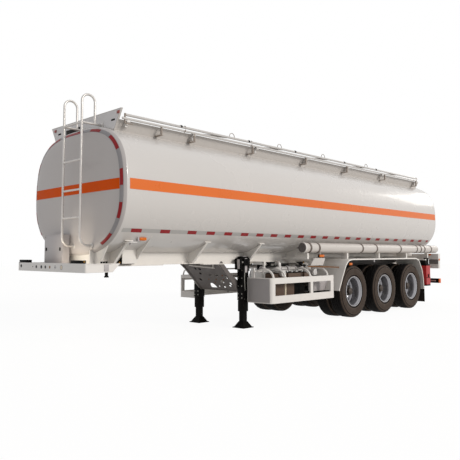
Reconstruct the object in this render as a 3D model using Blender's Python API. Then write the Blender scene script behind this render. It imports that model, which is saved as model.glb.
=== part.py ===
"""Three-axle road tanker semi-trailer, parked on its landing legs.

Metres. +X points forward to the kingpin, +Y to the trailer's left, +Z up. The origin is on the
ground at the middle of the overall length. Each sub-part is one named object and one closed body.
"""
import math

import bmesh
import bpy
from mathutils import Matrix, Vector

# Fits
SEAT = 0.0003            # gap between pieces that rest on each other
RUN = 0.006              # clearance beside pieces that move
OVERLAP = 0.002          # how far welded shapes reach into each other

# Overall
FRONT_X = 5.29
REAR_X = -5.29
HALF_WIDTH = 1.25

# Tank shell
TANK_FRONT = 4.858
TANK_REAR = -4.951
TANK_CENTRE_Z = 2.158
TANK_HALF_WIDTH = 1.246
TANK_UPPER = 1.000       # height above the widest line
TANK_LOWER = 0.865       # depth below the widest line
UPPER_POWER = 2.93       # superellipse powers of the two halves
LOWER_POWER = 2.39
TANK_SEGMENTS = 60
HEAD_BULGE = 0.082       # how far the head's middle stands past the rim
# scale of the section and share of the bulge, from the rim to the middle of a head
HEAD_PROFILE = ((1.0, 0.0), (0.988, 0.20), (0.968, 0.44), (0.930, 0.66), (0.840, 0.81), (0.550, 0.93),
                (0.020, 1.0))

# Roof trough
COAMING_TOP_Z = 3.207
COAMING_FOOT_Y = 0.800
COAMING_FOOT_Z = 3.056
COAMING_FLARE = 0.563    # outward lean, width per height
COAMING_WALL = 0.012
COAMING_ROOT = 0.060      # walls' reach below their foot line, into the shell
COAMING_FRONT = 4.775
COAMING_REAR = -4.775
SPLASH_TOP_Z = 3.354
SPLASH_WALL = 0.030
WALKWAY_Y = 0.540
WALKWAY_WIDTH = 0.320
WALKWAY_Z = 3.222
WALKWAY_DEPTH = 0.030
WALKWAY_END = 4.500
WALKWAY_BAR = 0.020
WALKWAY_PITCH = 0.450
CROSS_BAR_SHARE = 0.7     # cross bars' depth, as a share of the side bars'
BEARER_EVERY = 5          # every fifth cross bar reaches down to the shell

# Manholes
MANHOLE_X = (3.20, 0.0, -3.20)
COLLAR_RADIUS = 0.260
COLLAR_WALL = 0.030
COLLAR_TOP_Z = 3.250
LID_RADIUS = 0.272
LID_THICKNESS = 0.022
LID_PIN_DROP = 0.010     # hinge pin below the lid's top face
LID_PIN_RADIUS = 0.010
LID_LUG = 0.030
LID_CROWN = 2.2           # crown's height, as a share of the lid's thickness
LID_FLAT = 0.45           # radius of the crown's flat top, as a share of the lid's
LID_RIM = 0.80            # radius at which the crown starts
EAR_DEPTH = 0.060         # hinge ears' depth below the collar's top
ROUND_SIDES = 20

# Folding handrail on the left of the roof
RAIL_Y = 0.950
RAIL_RADIUS = 0.020
BASE_RAIL_RADIUS = 0.0175
BASE_RAIL_Z = 3.215
TOP_RAIL_RISE = 0.055    # top rail above base rail when folded
RAIL_FRONT = 4.690
RAIL_REAR = -4.560
POST_COUNT = 5
POST_FIRST_X = 3.375
POST_PITCH = 1.520
POST_LENGTH = 0.770
POST_THICKNESS = 0.008
POST_HEIGHT = 0.026
POST_GAP = 0.004         # beside the post at its pins
PIN_RADIUS = 0.006
PIN_CLEARANCE = 0.0015
WASHER_RADIUS = 0.011
BRACKET_LENGTH = 0.050
BRACKET_PLATE = 0.012
BRACKET_DROP = 0.050     # bracket's bar below the base rail's axis
BRACKET_FOOT = 0.050     # bracket web's foot above the coaming's foot
BRACKET_WEB = 0.4        # half-width of the web under the rail, as a share of the rail's radius
TUBE_SIDES = 8

# Front ladder
LADDER_X = 5.110
LADDER_Y = (0.020, 0.500)
LADDER_TUBE = 0.017
LADDER_TIE = 0.019       # side bar to the splash plate
LADDER_RUNG = 0.015
LADDER_RUNGS_Z = (1.826, 2.218, 2.639)
LADDER_BAR_Z = 3.170
LADDER_TOP_Z = 3.582
LADDER_LEG_X = 4.900
LADDER_BEND_Z = 1.555
LADDER_FOOT_Z = 1.430
LADDER_FLANGE = 0.045
FLANGE_THICKNESS = 0.012
FLANGE_SEAT = 0.75        # foot flange's place on the head, as a share of its bulge

# Chassis
BEAM_Y = 0.470
BEAM_WEB = 0.012
BEAM_FLANGE_HALF = 0.0417
BEAM_FLANGE = 0.014
BEAM_OVERLAP = 0.040      # web's top above the shell's surface before it is cut to it
BEAM_BOTTOM_Z = 1.131
BEAM_FRONT = 4.930
NECK_BOTTOM_Z = 1.147     # underside of the front section, above the coupler plate
SPLICE_X = (2.750, -0.050)
# outrigger's x, reach to the side
OUTRIGGERS = ((4.600, 0.930), (3.065, 0.930), (1.720, 0.920), (0.450, 0.880), (-4.300, 0.880))
OUTRIGGER_RISE = 0.060   # top above the shell's surface before it is cut to it
OUTRIGGER_WEB = 0.010
OUTRIGGER_FLANGE = 0.044  # width of the strip on the slanting edge
OUTRIGGER_FOOT = 0.100    # how far the web's foot reaches out from the beam
PAD_LENGTH = 0.130        # cap on an outrigger's tip
PAD_WIDTH = 0.070
PAD_THICKNESS = 0.012
CROSS_FLANGE = 0.080
SADDLE_X = 4.240          # full plate between the beam and the shell's side
SADDLE_REACH = 1.010
SADDLE_SIDE_Y = 0.650
SADDLE_SIDE_FRONT = 4.500
SADDLE_SIDE_LOW_Z = 1.172
ARM_X = (-0.850, -2.190, -3.550)
HOSE_ARM_X = (0.560, -4.750)
ARM_WIDTH = 0.050
ARM_HEIGHT = 0.040
CROSS_HEIGHT = 0.110
CRADLE_X = 4.845
CRADLE_HALF = 0.860       # half-width at the shell
CRADLE_FOOT_HALF = 0.620
CRADLE_PLATE = 0.014

# Coupler
BOLSTER_HALF = 0.944
BOLSTER_DEPTH = 0.080
BOLSTER_BOTTOM_Z = 1.063
BOLSTER_TOP_Z = 1.186
COUPLER_PLATE = 0.014
COUPLER_REAR = 3.650
COUPLER_FRONT = 4.840
COUPLER_HALF = 0.540
COUPLER_WIDE_REAR = 4.860 # rear end of the bolster's floor
SKIRT_WALL = 0.010
SKIRT_SLANT = 0.120
KINGPIN_X = 4.333
KINGPIN_RADIUS = 0.0254
KINGPIN_FLANGE_RADIUS = 0.0362
KINGPIN_LENGTH = 0.084
KINGPIN_FLANGE = 0.022
KINGPIN_BOSS_RADIUS = 0.060
KINGPIN_DROP = 0.112      # pin's tip below the bolster's underside

# Cabinet on the coupler
CABINET_FRONT = 5.060
CABINET_DEPTH = 0.112
CABINET_Y = -0.313
CABINET_WIDTH = 0.535
CABINET_TOP_Z = 1.600
CABINET_BOTTOM_Z = 1.165
CABINET_LEG = 0.040
CABINET_LEG_INSET = 0.030

# Landing gear
LEG_X = 1.830
LEG_TUBE = 0.120
LEG_INNER_TUBE = 0.100
LEG_TOP_Z = 1.265
LEG_SPLIT_Z = 0.490
LEG_FLANGE = 0.145
LEG_FOOT = 0.270
FOOT_PLATE = 0.014
FOOT_HEIGHT = 0.110
FOOT_EDGE = 0.020         # flat edge of the foot's plate around its flared part
FOOT_COLLAR = 0.006       # flared part's top beyond the inner tube
LEG_COLLAR = 0.016        # thickness of the flange at the outer tube's end
GEARBOX_REACH = 0.040     # gearbox's front end before the tube
GEARBOX_DEPTH = 0.060
GEARBOX_Z = (1.105, 1.225)
BRACE_TOP_Z = 0.920
BRACE_BOTTOM_Z = 0.640
BRACE_PLATE = 0.008
BRACE_BAR = 0.040
STRUT_TOP_X = 2.410
STRUT_FOOT_Z = 0.800
STRUT_WIDTH = 0.050
STRUT_TOP_LENGTH = 0.120
STRUT_FOOT_DEPTH = 0.070

# Side frames
FRAME_Y = 1.200
FRAME_WALL = 0.030
FRAME_CORNER = 0.060     # radius of the bend between the front plate and the side
FRAME_FRONT = 1.790
FRAME_REAR = -0.148
FRAME_TOP_Z = 0.890
FRAME_BOTTOM_Z = 0.447
WINDOW_BOTTOM_Z = 0.576
WINDOW_TOP_Z = 0.786
WINDOWS_X = ((0.627, 1.680), (-0.047, 0.546))
FRONT_PLATE = 0.008
# open part of the right front plate: y from the middle, then z
PLATE_WINDOW = ((-1.136, -0.760), (0.570, 0.830))
FRAME_BAR_Y = 0.800
FRAME_BAR_Z = 1.000
FRAME_BAR_RADIUS = 0.016
HOOP_RADIUS = 0.014
HOOPS_X = (1.710, 1.383, 0.619, 0.042)
FRAME_ARM_X = (1.500, 0.100)

# Discharge pipes
RISER_X = (1.290, 0.300)
RISER_Y = 0.250
RISER_TOP_OVERLAP = 0.050
PIPE_RADIUS = 0.045
PIPE_Z = 1.072            # pipe's axis where it passes under the beam
PIPE_BEND = 0.050
VALVE_SHARE = 1.24        # radius of the valve's body, as a share of the pipe's
CAP_SHARE = 1.44
# y, z and share of the radius, from the beam to the outlet's cap
OUTLET_PATH = ((0.640, PIPE_Z, 1.0), (0.644, PIPE_Z, VALVE_SHARE), (0.776, PIPE_Z, VALVE_SHARE),
               (0.780, PIPE_Z, 1.0), (0.800, PIPE_Z, 1.0), (0.860, 1.048, 1.0), (0.912, 0.984, 1.0),
               (0.972, 0.960, 1.0), (1.030, 0.960, 1.0), (1.034, 0.960, CAP_SHARE),
               (1.080, 0.960, CAP_SHARE))

# Hose tube
HOSE_FRONT = 0.730
HOSE_REAR = -5.230
HOSE_INSET = 0.166       # tube's axis inside the shell's widest line
HOSE_Y = TANK_HALF_WIDTH - HOSE_INSET
HOSE_Z = 1.427
HOSE_RADIUS = 0.099
ARM_END_Y = HOSE_Y + 0.020
SADDLE_SHARE = 0.6        # half-width of a post under the tube, as a share of the tube's radius
HOSE_WALL = 0.007
DOOR_THICKNESS = 0.008
DOOR_INSET = 0.006
DOOR_HINGE_RADIUS = 0.006
KNUCKLE_HALF = 0.014

# Running gear
AXLES_X = (-0.880, -2.190, -3.500)
WHEEL_Z = 0.535
TWIN_Y = 0.920
TYRE_OFFSET = 0.170
TYRE_RADIUS = 0.535
TYRE_HALF_WIDTH = 0.148
BEAD_RADIUS = 0.300
BEAD_HALF = 0.115
RIM_LIP_RADIUS = 0.307
RIM_LIP = 0.014
RIM_INNER_RADIUS = 0.272
DISC_RADIUS = 0.235
DISC_THICKNESS = 0.075
HUB_RADIUS = 0.092
HUB_END = 0.250
DRUM_RADIUS = 0.215
DRUM_END = 0.270
SPINDLE_END = 0.100      # bore's end from the middle of the twin wheels
AXLE_RADIUS = 0.0635
SPINDLE_RADIUS = 0.056
SPRING_WIDTH = 0.076
SPRING_THICKNESS = 0.060
SPRING_HALF_LENGTH = 0.560
SPRING_RISE = 0.090
SPRING_SEAT = 0.024
SPRING_THIN = 0.7         # share of the stack's thickness lost at its ends
CLAMP_HALF = 0.090        # half-length of the seat and clamp on a spring
CLAMP_SIDE = 0.012        # clamp beyond the spring's side
CLAMP_PLATE = 0.020
BRAKE_PLATE = 0.014
BRAKE_SHARE = 0.8         # brake flange's radius, as a share of the drum's
SPINDLE_LAP = 0.050
HANGER_WIDTH = 0.084
HANGER_LENGTH = 0.150

# Fenders and flaps
FENDER_INNER_Y = 0.620
FENDER_SHEET = 0.006
FENDER_LIP = 0.026
FENDER_TOP_Z = 1.209
FENDER_FRONT_PATH = ((-0.258, 0.580), (-0.400, 0.860), (-0.533, 1.090), (-0.640, 1.180))
FENDER_FLAT = (-0.778, -3.738)
FENDER_REAR_PATH = ((-3.900, 1.165), (-4.081, 0.916), (-4.140, 0.680), (-4.161, 0.436))
FLAP_THICKNESS = 0.010
FLAP_INNER_Y = 0.700
FLAP_BOTTOM_Z = 0.120
FLAP_LAP = 0.060

# Extinguisher box and rear end
EXT_FRONT = -4.422
EXT_REAR = -4.649
EXT_INNER_Y = 0.960
EXT_OUTER_Y = 1.200
EXT_BOTTOM_Z = 0.500
EXT_TOP_Z = 1.040
EXT_CAP = 0.030
EXT_CAP_INSET = 0.015
EXT_ARM_Z = 1.131
EXT_ARM_INSET = 0.080     # arm's sides inside the box's ends
EXT_ARM_END = 0.060       # arm's end inside the box's outer face
LIGHT_BEAM_DEPTH = 0.120
LIGHT_BEAM_HALF = 1.200
LIGHT_BEAM_BOTTOM_Z = 1.160
LIGHT_BEAM_TOP_Z = 1.310
LAMP_BOX_INNER_Y = 0.945
LAMP_BOX_BOTTOM_Z = 0.923
LAMP_BOX_INSET = 0.010
UNDERRUN_DEPTH = 0.100
UNDERRUN_BOTTOM_Z = 0.540
UNDERRUN_TOP_Z = 0.655
UNDERRUN_ARM = 0.060
UNDERRUN_INSET = 0.010    # bar's rear face before the overall length
ARM_FOOT_INSET = 0.020
ARM_TOP_LENGTH = 0.120

# Colours: red, green, blue, roughness, metallic
PAINTS = {
    "white_paint": (0.72, 0.70, 0.68, 0.35, 0.0),
    "grey_paint": (0.42, 0.42, 0.43, 0.45, 0.0),
    "black_paint": (0.02, 0.02, 0.02, 0.45, 0.0),
    "rubber": (0.03, 0.027, 0.025, 0.85, 0.0),
    "stainless": (0.62, 0.60, 0.58, 0.25, 1.0),
    "rim_silver": (0.55, 0.55, 0.57, 0.35, 0.8),
    "red_plastic": (0.45, 0.02, 0.02, 0.40, 0.0),
}


def clear_scene():
    for thing in list(bpy.data.objects):
        bpy.data.objects.remove(thing, do_unlink=True)


def material(name, paint):
    red, green, blue, roughness, metallic = PAINTS[paint]
    result = bpy.data.materials.new(name)
    result.use_nodes = True
    shader = result.node_tree.nodes["Principled BSDF"]
    shader.inputs["Base Color"].default_value = (red, green, blue, 1.0)
    shader.inputs["Roughness"].default_value = roughness
    shader.inputs["Metallic"].default_value = metallic
    result.diffuse_color = (red, green, blue, 1.0)
    return result


def place(name, mesh, paint, pivot=(0.0, 0.0, 0.0), smooth=False):
    """Make the named object, with its origin moved to the pivot."""
    mesh.transform(Matrix.Translation(-Vector(pivot)))
    mesh.name = name
    mesh.materials.clear()
    mesh.materials.append(material(name, paint))
    if smooth:
        mesh.shade_smooth()
        mesh.set_sharp_from_angle(angle=math.radians(35))
    thing = bpy.data.objects.new(name, mesh)
    thing.location = pivot
    bpy.context.scene.collection.objects.link(thing)
    return thing


# Basic shapes, each returned as a mesh

def finish(bm):
    bmesh.ops.recalc_face_normals(bm, faces=bm.faces)
    mesh = bpy.data.meshes.new("shape")
    bm.to_mesh(mesh)
    bm.free()
    return mesh


def box(x_range, y_range, z_range):
    bm = bmesh.new()
    bmesh.ops.create_cube(bm, size=1.0)
    low = Vector((min(x_range), min(y_range), min(z_range)))
    high = Vector((max(x_range), max(y_range), max(z_range)))
    for vert in bm.verts:
        for axis in range(3):
            vert.co[axis] = low[axis] if vert.co[axis] < 0 else high[axis]
    return finish(bm)


def prism(outline, axis, start, end):
    """Extrude a flat outline along an axis. The outline's pairs are the other two axes in order."""
    bm = bmesh.new()
    others = [index for index in range(3) if index != axis]
    verts = []
    for pair in outline:
        point = [0.0, 0.0, 0.0]
        point[axis] = start
        point[others[0]] = pair[0]
        point[others[1]] = pair[1]
        verts.append(bm.verts.new(point))
    face = bm.faces.new(verts)
    extruded = bmesh.ops.extrude_face_region(bm, geom=[face])
    shift = Vector((0.0, 0.0, 0.0))
    shift[axis] = end - start
    moved = [item for item in extruded["geom"] if isinstance(item, bmesh.types.BMVert)]
    bmesh.ops.translate(bm, verts=moved, vec=shift)
    return finish(bm)


def rod(start, end, radius, sides=TUBE_SIDES, end_radius=None):
    """A round bar or a cone between two points."""
    start = Vector(start)
    end = Vector(end)
    run = end - start
    turn = run.to_track_quat("Z", "Y").to_matrix().to_4x4()
    bm = bmesh.new()
    bmesh.ops.create_cone(
        bm, cap_ends=True, segments=sides, radius1=radius,
        radius2=radius if end_radius is None else end_radius, depth=run.length,
        matrix=Matrix.Translation((start + end) / 2) @ turn)
    return finish(bm)


def pipe(points, radius, sides=TUBE_SIDES):
    """A bent tube along the points. A fourth value in a point is its share of the radius."""
    curve = bpy.data.curves.new("pipe", "CURVE")
    curve.dimensions = "3D"
    curve.bevel_depth = radius
    curve.bevel_resolution = sides // 2 - 2
    curve.use_fill_caps = True
    spline = curve.splines.new("POLY")
    spline.points.add(len(points) - 1)
    for item, point in zip(spline.points, points):
        item.co = (*point[:3], 1.0)
        item.radius = point[3] if len(point) > 3 else 1.0
    holder = bpy.data.objects.new("pipe", curve)
    bpy.context.scene.collection.objects.link(holder)
    mesh = bpy.data.meshes.new_from_object(
        holder.evaluated_get(bpy.context.evaluated_depsgraph_get()))
    bpy.data.objects.remove(holder, do_unlink=True)
    bm = bmesh.new()
    bm.from_mesh(mesh)
    bmesh.ops.remove_doubles(bm, verts=bm.verts, dist=0.00005)
    return finish(bm)


def turned(profile, centre, axis, sides=ROUND_SIDES):
    """Turn a profile of (radius, along) pairs about an axis through the centre."""
    bm = bmesh.new()
    direction = Vector((0.0, 0.0, 0.0))
    direction[axis] = 1.0
    across = Vector((0.0, 0.0, 1.0)) if axis != 2 else Vector((1.0, 0.0, 0.0))
    points = [bm.verts.new(across * radius + direction * along) for radius, along in profile]
    edges = [bm.edges.new((points[k], points[k + 1])) for k in range(len(points) - 1)]
    if profile[0][0] > 0.0:
        edges.append(bm.edges.new((points[-1], points[0])))
    bmesh.ops.spin(
        bm, geom=points + edges, cent=(0.0, 0.0, 0.0), axis=direction,
        angle=2.0 * math.pi, steps=sides, use_merge=False, use_duplicate=False)
    bmesh.ops.remove_doubles(bm, verts=bm.verts, dist=0.00005)
    bmesh.ops.translate(bm, verts=bm.verts, vec=Vector(centre))
    return finish(bm)


def mirrored(mesh):
    """The same shape on the other side of the trailer."""
    bm = bmesh.new()
    bm.from_mesh(mesh)
    bmesh.ops.scale(bm, verts=bm.verts, vec=(1.0, -1.0, 1.0))
    return finish(bm)


# Joining and cutting

def joined(meshes):
    bm = bmesh.new()
    for mesh in meshes:
        bm.from_mesh(mesh)
    result = bpy.data.meshes.new("joined")
    bm.to_mesh(result)
    bm.free()
    return result


def boolean(mesh, tool, operation):
    target = bpy.data.objects.new("target", mesh)
    cutter = bpy.data.objects.new("cutter", tool)
    for thing in (target, cutter):
        bpy.context.scene.collection.objects.link(thing)
    modifier = target.modifiers.new("cut", "BOOLEAN")
    modifier.operation = operation
    modifier.solver = "EXACT"
    modifier.use_self = True
    modifier.object = cutter
    result = bpy.data.meshes.new_from_object(
        target.evaluated_get(bpy.context.evaluated_depsgraph_get()))
    bpy.data.objects.remove(target, do_unlink=True)
    bpy.data.objects.remove(cutter, do_unlink=True)
    return result


def welded(meshes):
    """One closed body from shapes that reach into each other."""
    return boolean(meshes[0], joined(meshes[1:]), "UNION")


def cut(mesh, tools):
    return boolean(mesh, joined(tools), "DIFFERENCE")


# Tank

def section_point(angle, scale, gap):
    """A point of the tank's cross-section, as (y, z)."""
    upper = math.sin(angle) >= 0.0
    power = 2.0 / (UPPER_POWER if upper else LOWER_POWER)
    height = (TANK_UPPER if upper else TANK_LOWER) * scale + gap
    width = TANK_HALF_WIDTH * scale + gap
    y = width * math.copysign(abs(math.cos(angle)) ** power, math.cos(angle))
    z = height * math.copysign(abs(math.sin(angle)) ** power, math.sin(angle))
    return y, TANK_CENTRE_Z + z


def tank_height(y, upper=True):
    """Height of the shell above or below the widest line at a distance from the middle."""
    power = UPPER_POWER if upper else LOWER_POWER
    reach = (1.0 - abs(y / TANK_HALF_WIDTH) ** power) ** (1.0 / power)
    return TANK_CENTRE_Z + (TANK_UPPER if upper else -TANK_LOWER) * reach


def tank_mesh(gap=0.0):
    """The shell with its two domed heads. A gap grows it on every side, as a tool for cutting."""
    rows = [(TANK_REAR - share * HEAD_BULGE - gap, scale) for scale, share in reversed(HEAD_PROFILE)]
    rows += [(TANK_FRONT + share * HEAD_BULGE + gap, scale) for scale, share in HEAD_PROFILE]
    bm = bmesh.new()
    rings = []
    for x, scale in rows:
        ring = []
        for k in range(TANK_SEGMENTS):
            y, z = section_point(2.0 * math.pi * (k + 0.5) / TANK_SEGMENTS, scale, gap)
            ring.append(bm.verts.new((x, y, z)))
        rings.append(ring)
    for before, after in zip(rings, rings[1:]):
        for k in range(TANK_SEGMENTS):
            following = (k + 1) % TANK_SEGMENTS
            bm.faces.new((before[k], before[following], after[following], after[k]))
    bm.faces.new(rings[0])
    bm.faces.new(rings[-1])
    return finish(bm)


def make_tank():
    place("tank_shell", tank_mesh(), "white_paint", smooth=True)


# Roof

def coaming_wall(side, gap, wall=COAMING_WALL):
    """One side wall of the roof trough, leaning out, with its foot below the shell's surface."""
    foot_z = COAMING_FOOT_Z - COAMING_ROOT
    foot_y = COAMING_FOOT_Y - COAMING_FLARE * COAMING_ROOT
    top_y = COAMING_FOOT_Y + COAMING_FLARE * (COAMING_TOP_Z - COAMING_FOOT_Z)
    outline = [
        (side * (foot_y + gap), foot_z), (side * (top_y + gap), COAMING_TOP_Z + gap),
        (side * (top_y - wall - gap), COAMING_TOP_Z + gap),
        (side * (foot_y - wall - gap), foot_z)]
    return prism(outline, 0, COAMING_REAR, COAMING_FRONT - OVERLAP)


def make_coaming(shell_tool):
    low_z = COAMING_FOOT_Z - COAMING_ROOT
    splash_half = COAMING_FOOT_Y + COAMING_FLARE * (SPLASH_TOP_Z - COAMING_FOOT_Z)
    low_half = COAMING_FOOT_Y - COAMING_FLARE * COAMING_ROOT
    splash = [(-splash_half, SPLASH_TOP_Z), (splash_half, SPLASH_TOP_Z),
              (low_half, low_z), (-low_half, low_z)]
    rear_half = COAMING_FOOT_Y + COAMING_FLARE * (COAMING_TOP_Z - COAMING_FOOT_Z)
    rear = [(-rear_half, COAMING_TOP_Z), (rear_half, COAMING_TOP_Z),
            (low_half, low_z), (-low_half, low_z)]
    shapes = [prism(splash, 0, COAMING_FRONT - SPLASH_WALL, COAMING_FRONT),
              prism(rear, 0, COAMING_REAR, COAMING_REAR + COAMING_WALL)]
    shapes += [coaming_wall(side, 0.0) for side in (1, -1)]
    place("roof_coaming", cut(welded(shapes), [shell_tool]), "white_paint")


def make_walkway(shell_tool):
    """A grating of two side bars and cross bars, on bearers that stand on the shell."""
    low = WALKWAY_Y - WALKWAY_WIDTH / 2
    high = WALKWAY_Y + WALKWAY_WIDTH / 2
    deck = (WALKWAY_Z - WALKWAY_DEPTH, WALKWAY_Z)
    shapes = [box((-WALKWAY_END, WALKWAY_END), (low, low + WALKWAY_BAR), deck),
              box((-WALKWAY_END, WALKWAY_END), (high - WALKWAY_BAR, high), deck)]
    count = round(2 * WALKWAY_END / WALKWAY_PITCH)
    for k in range(count + 1):
        x = -WALKWAY_END + WALKWAY_BAR / 2 + k * (2 * WALKWAY_END - WALKWAY_BAR) / count
        bearer = k % BEARER_EVERY == 0
        bottom = COAMING_FOOT_Z if bearer else WALKWAY_Z - CROSS_BAR_SHARE * WALKWAY_DEPTH
        shapes.append(box((x - WALKWAY_BAR / 2, x + WALKWAY_BAR / 2),
                          (low + OVERLAP, high - OVERLAP), (bottom, WALKWAY_Z - OVERLAP)))
    place("roof_walkway", cut(welded(shapes), [shell_tool]), "grey_paint")


def make_manholes(shell_tool):
    """Collars that stand on the shell, and their lids, hinged at the rear."""
    pin_z = COLLAR_TOP_Z + SEAT + LID_THICKNESS - LID_PIN_DROP
    pin_reach = LID_RADIUS + LID_PIN_RADIUS + RUN
    for number, x in enumerate(MANHOLE_X, 1):
        low = COAMING_FOOT_Z - COLLAR_TOP_Z
        inner = COLLAR_RADIUS - COLLAR_WALL
        ring = turned(((COLLAR_RADIUS, low), (COLLAR_RADIUS, 0.0), (inner, 0.0), (inner, low)),
                      (x, 0.0, COLLAR_TOP_Z), 2)
        pin_x = x - pin_reach
        ears = []
        for side in (1, -1):
            y = (side * (LID_LUG + POST_GAP), side * (LID_LUG + POST_GAP + BRACKET_PLATE))
            ears.append(box((pin_x - LID_PIN_RADIUS, x - COLLAR_RADIUS + COLLAR_WALL / 2), y,
                            (COLLAR_TOP_Z - EAR_DEPTH, COLLAR_TOP_Z - RUN)))
            ears.append(box((pin_x - LID_PIN_RADIUS, pin_x + LID_PIN_RADIUS), y,
                            (COLLAR_TOP_Z - EAR_DEPTH, pin_z + LID_PIN_RADIUS)))
        reach = LID_LUG + POST_GAP + OVERLAP
        ears.append(rod((pin_x, -reach, pin_z), (pin_x, reach, pin_z), PIN_RADIUS, 8))
        place(f"manhole_collar_{number}", cut(welded([ring] + ears), [shell_tool]), "grey_paint")

        lid = turned(((0.0, LID_THICKNESS * LID_CROWN), (LID_FLAT * LID_RADIUS, LID_THICKNESS * LID_CROWN),
                      (LID_RIM * LID_RADIUS, LID_THICKNESS), (LID_RADIUS, LID_THICKNESS),
                      (LID_RADIUS, 0.0), (0.0, 0.0)),
                     (x, 0.0, COLLAR_TOP_Z + SEAT), 2)
        lug = box((pin_x, x - 0.85 * LID_RADIUS), (-LID_LUG, LID_LUG),
                  (pin_z - 0.8 * LID_PIN_RADIUS, pin_z + 0.8 * LID_PIN_RADIUS))
        knuckle = rod((pin_x, -LID_LUG, pin_z), (pin_x, LID_LUG, pin_z), 1.4 * LID_PIN_RADIUS, 12)
        hole = rod((pin_x, -2 * LID_LUG, pin_z), (pin_x, 2 * LID_LUG, pin_z),
                   PIN_RADIUS + PIN_CLEARANCE, 8)
        place(f"manhole_lid_{number}", cut(welded([lid, lug, knuckle]), [hole]), "stainless",
              pivot=(pin_x, 0.0, pin_z))


# Folding handrail

def post_positions():
    return [POST_FIRST_X - k * POST_PITCH for k in range(POST_COUNT)]


def post_run():
    """How far back a folded post reaches."""
    return math.sqrt(POST_LENGTH ** 2 - TOP_RAIL_RISE ** 2)


def make_handrail():
    """Base rail with brackets and pins, posts that fold back, and the top rail they carry."""
    post_inner = RAIL_Y - RAIL_RADIUS - POST_GAP - POST_THICKNESS
    post_outer = post_inner + POST_THICKNESS
    plate_outer = post_inner - POST_GAP
    plate_inner = plate_outer - BRACKET_PLATE
    top_z = BASE_RAIL_Z + TOP_RAIL_RISE
    half = BRACKET_LENGTH / 2
    web_half = BRACKET_WEB * BASE_RAIL_RADIUS
    bar_z = (BASE_RAIL_Z - BRACKET_DROP, BASE_RAIL_Z - BRACKET_DROP + 0.020)

    base = [rod((RAIL_REAR, RAIL_Y, BASE_RAIL_Z), (RAIL_FRONT, RAIL_Y, BASE_RAIL_Z),
                BASE_RAIL_RADIUS)]
    ends = [RAIL_FRONT - 2 * half, RAIL_REAR + 2 * half]
    for x in post_positions() + ends:
        web = (x - half + OVERLAP, x + half - OVERLAP)
        base.append(box((x - half, x + half), (COAMING_FOOT_Y, RAIL_Y + 0.5 * BASE_RAIL_RADIUS),
                        bar_z))
        base.append(box(web, (COAMING_FOOT_Y, plate_inner + OVERLAP),
                        (COAMING_FOOT_Z + BRACKET_FOOT, bar_z[1] - OVERLAP)))
        base.append(box(web, (RAIL_Y - web_half, RAIL_Y + web_half),
                        (bar_z[0] + OVERLAP, BASE_RAIL_Z)))
    for x in post_positions():
        base.append(box((x - half + OVERLAP, x + half - OVERLAP), (plate_inner, plate_outer),
                        (bar_z[0] + OVERLAP, BASE_RAIL_Z + WASHER_RADIUS + OVERLAP)))
        base.append(rod((x, plate_inner + OVERLAP, BASE_RAIL_Z), (x, RAIL_Y, BASE_RAIL_Z),
                        PIN_RADIUS, 8))
        base.append(rod((x, plate_outer - OVERLAP, BASE_RAIL_Z), (x, post_inner - SEAT, BASE_RAIL_Z),
                        WASHER_RADIUS, 8))
    place("handrail_base", cut(welded(base), [coaming_wall(1, SEAT, 0.10)]), "stainless")

    run = post_run()
    eye = POST_HEIGHT / 2
    for number, x in enumerate(post_positions(), 1):
        foot = Vector((x, 0.0, BASE_RAIL_Z))
        tip = Vector((x - run, 0.0, top_z))
        along = (tip - foot).normalized()
        up = Vector((along.z, 0.0, -along.x))
        corners = [foot + up * eye, tip + up * eye, tip - up * eye, foot - up * eye]
        bar = prism([(corner.x, corner.z) for corner in corners], 1, post_inner, post_outer)
        eyes = [rod((centre.x, post_inner, centre.z), (centre.x, post_outer, centre.z), eye, 10)
                for centre in (foot, tip)]
        holes = [rod((foot.x, plate_inner, foot.z), (foot.x, RAIL_Y, foot.z),
                     PIN_RADIUS + PIN_CLEARANCE, 8)]
        pin = rod((tip.x, post_inner + OVERLAP, tip.z), (tip.x, RAIL_Y, tip.z), PIN_RADIUS, 8)
        place(f"handrail_post_{number}", welded([cut(welded([bar] + eyes), holes), pin]),
              "stainless", pivot=foot)

    rail = rod((RAIL_REAR, RAIL_Y, top_z), (RAIL_FRONT, RAIL_Y, top_z), RAIL_RADIUS)
    bores = [rod((x - run, RAIL_Y - 2 * RAIL_RADIUS, top_z), (x - run, RAIL_Y + SEAT, top_z),
                 PIN_RADIUS + PIN_CLEARANCE, 8) for x in post_positions()]
    place("handrail_top", cut(rail, bores), "stainless",
          pivot=(POST_FIRST_X - run, RAIL_Y, top_z))


# Front ladder

def arc(centre, radius, start, end, steps):
    """Points (x, z) of an arc, in degrees."""
    angles = [math.radians(start + (end - start) * k / steps) for k in range(steps + 1)]
    return [(centre[0] + radius * math.cos(a), centre[1] + radius * math.sin(a)) for a in angles]


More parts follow.
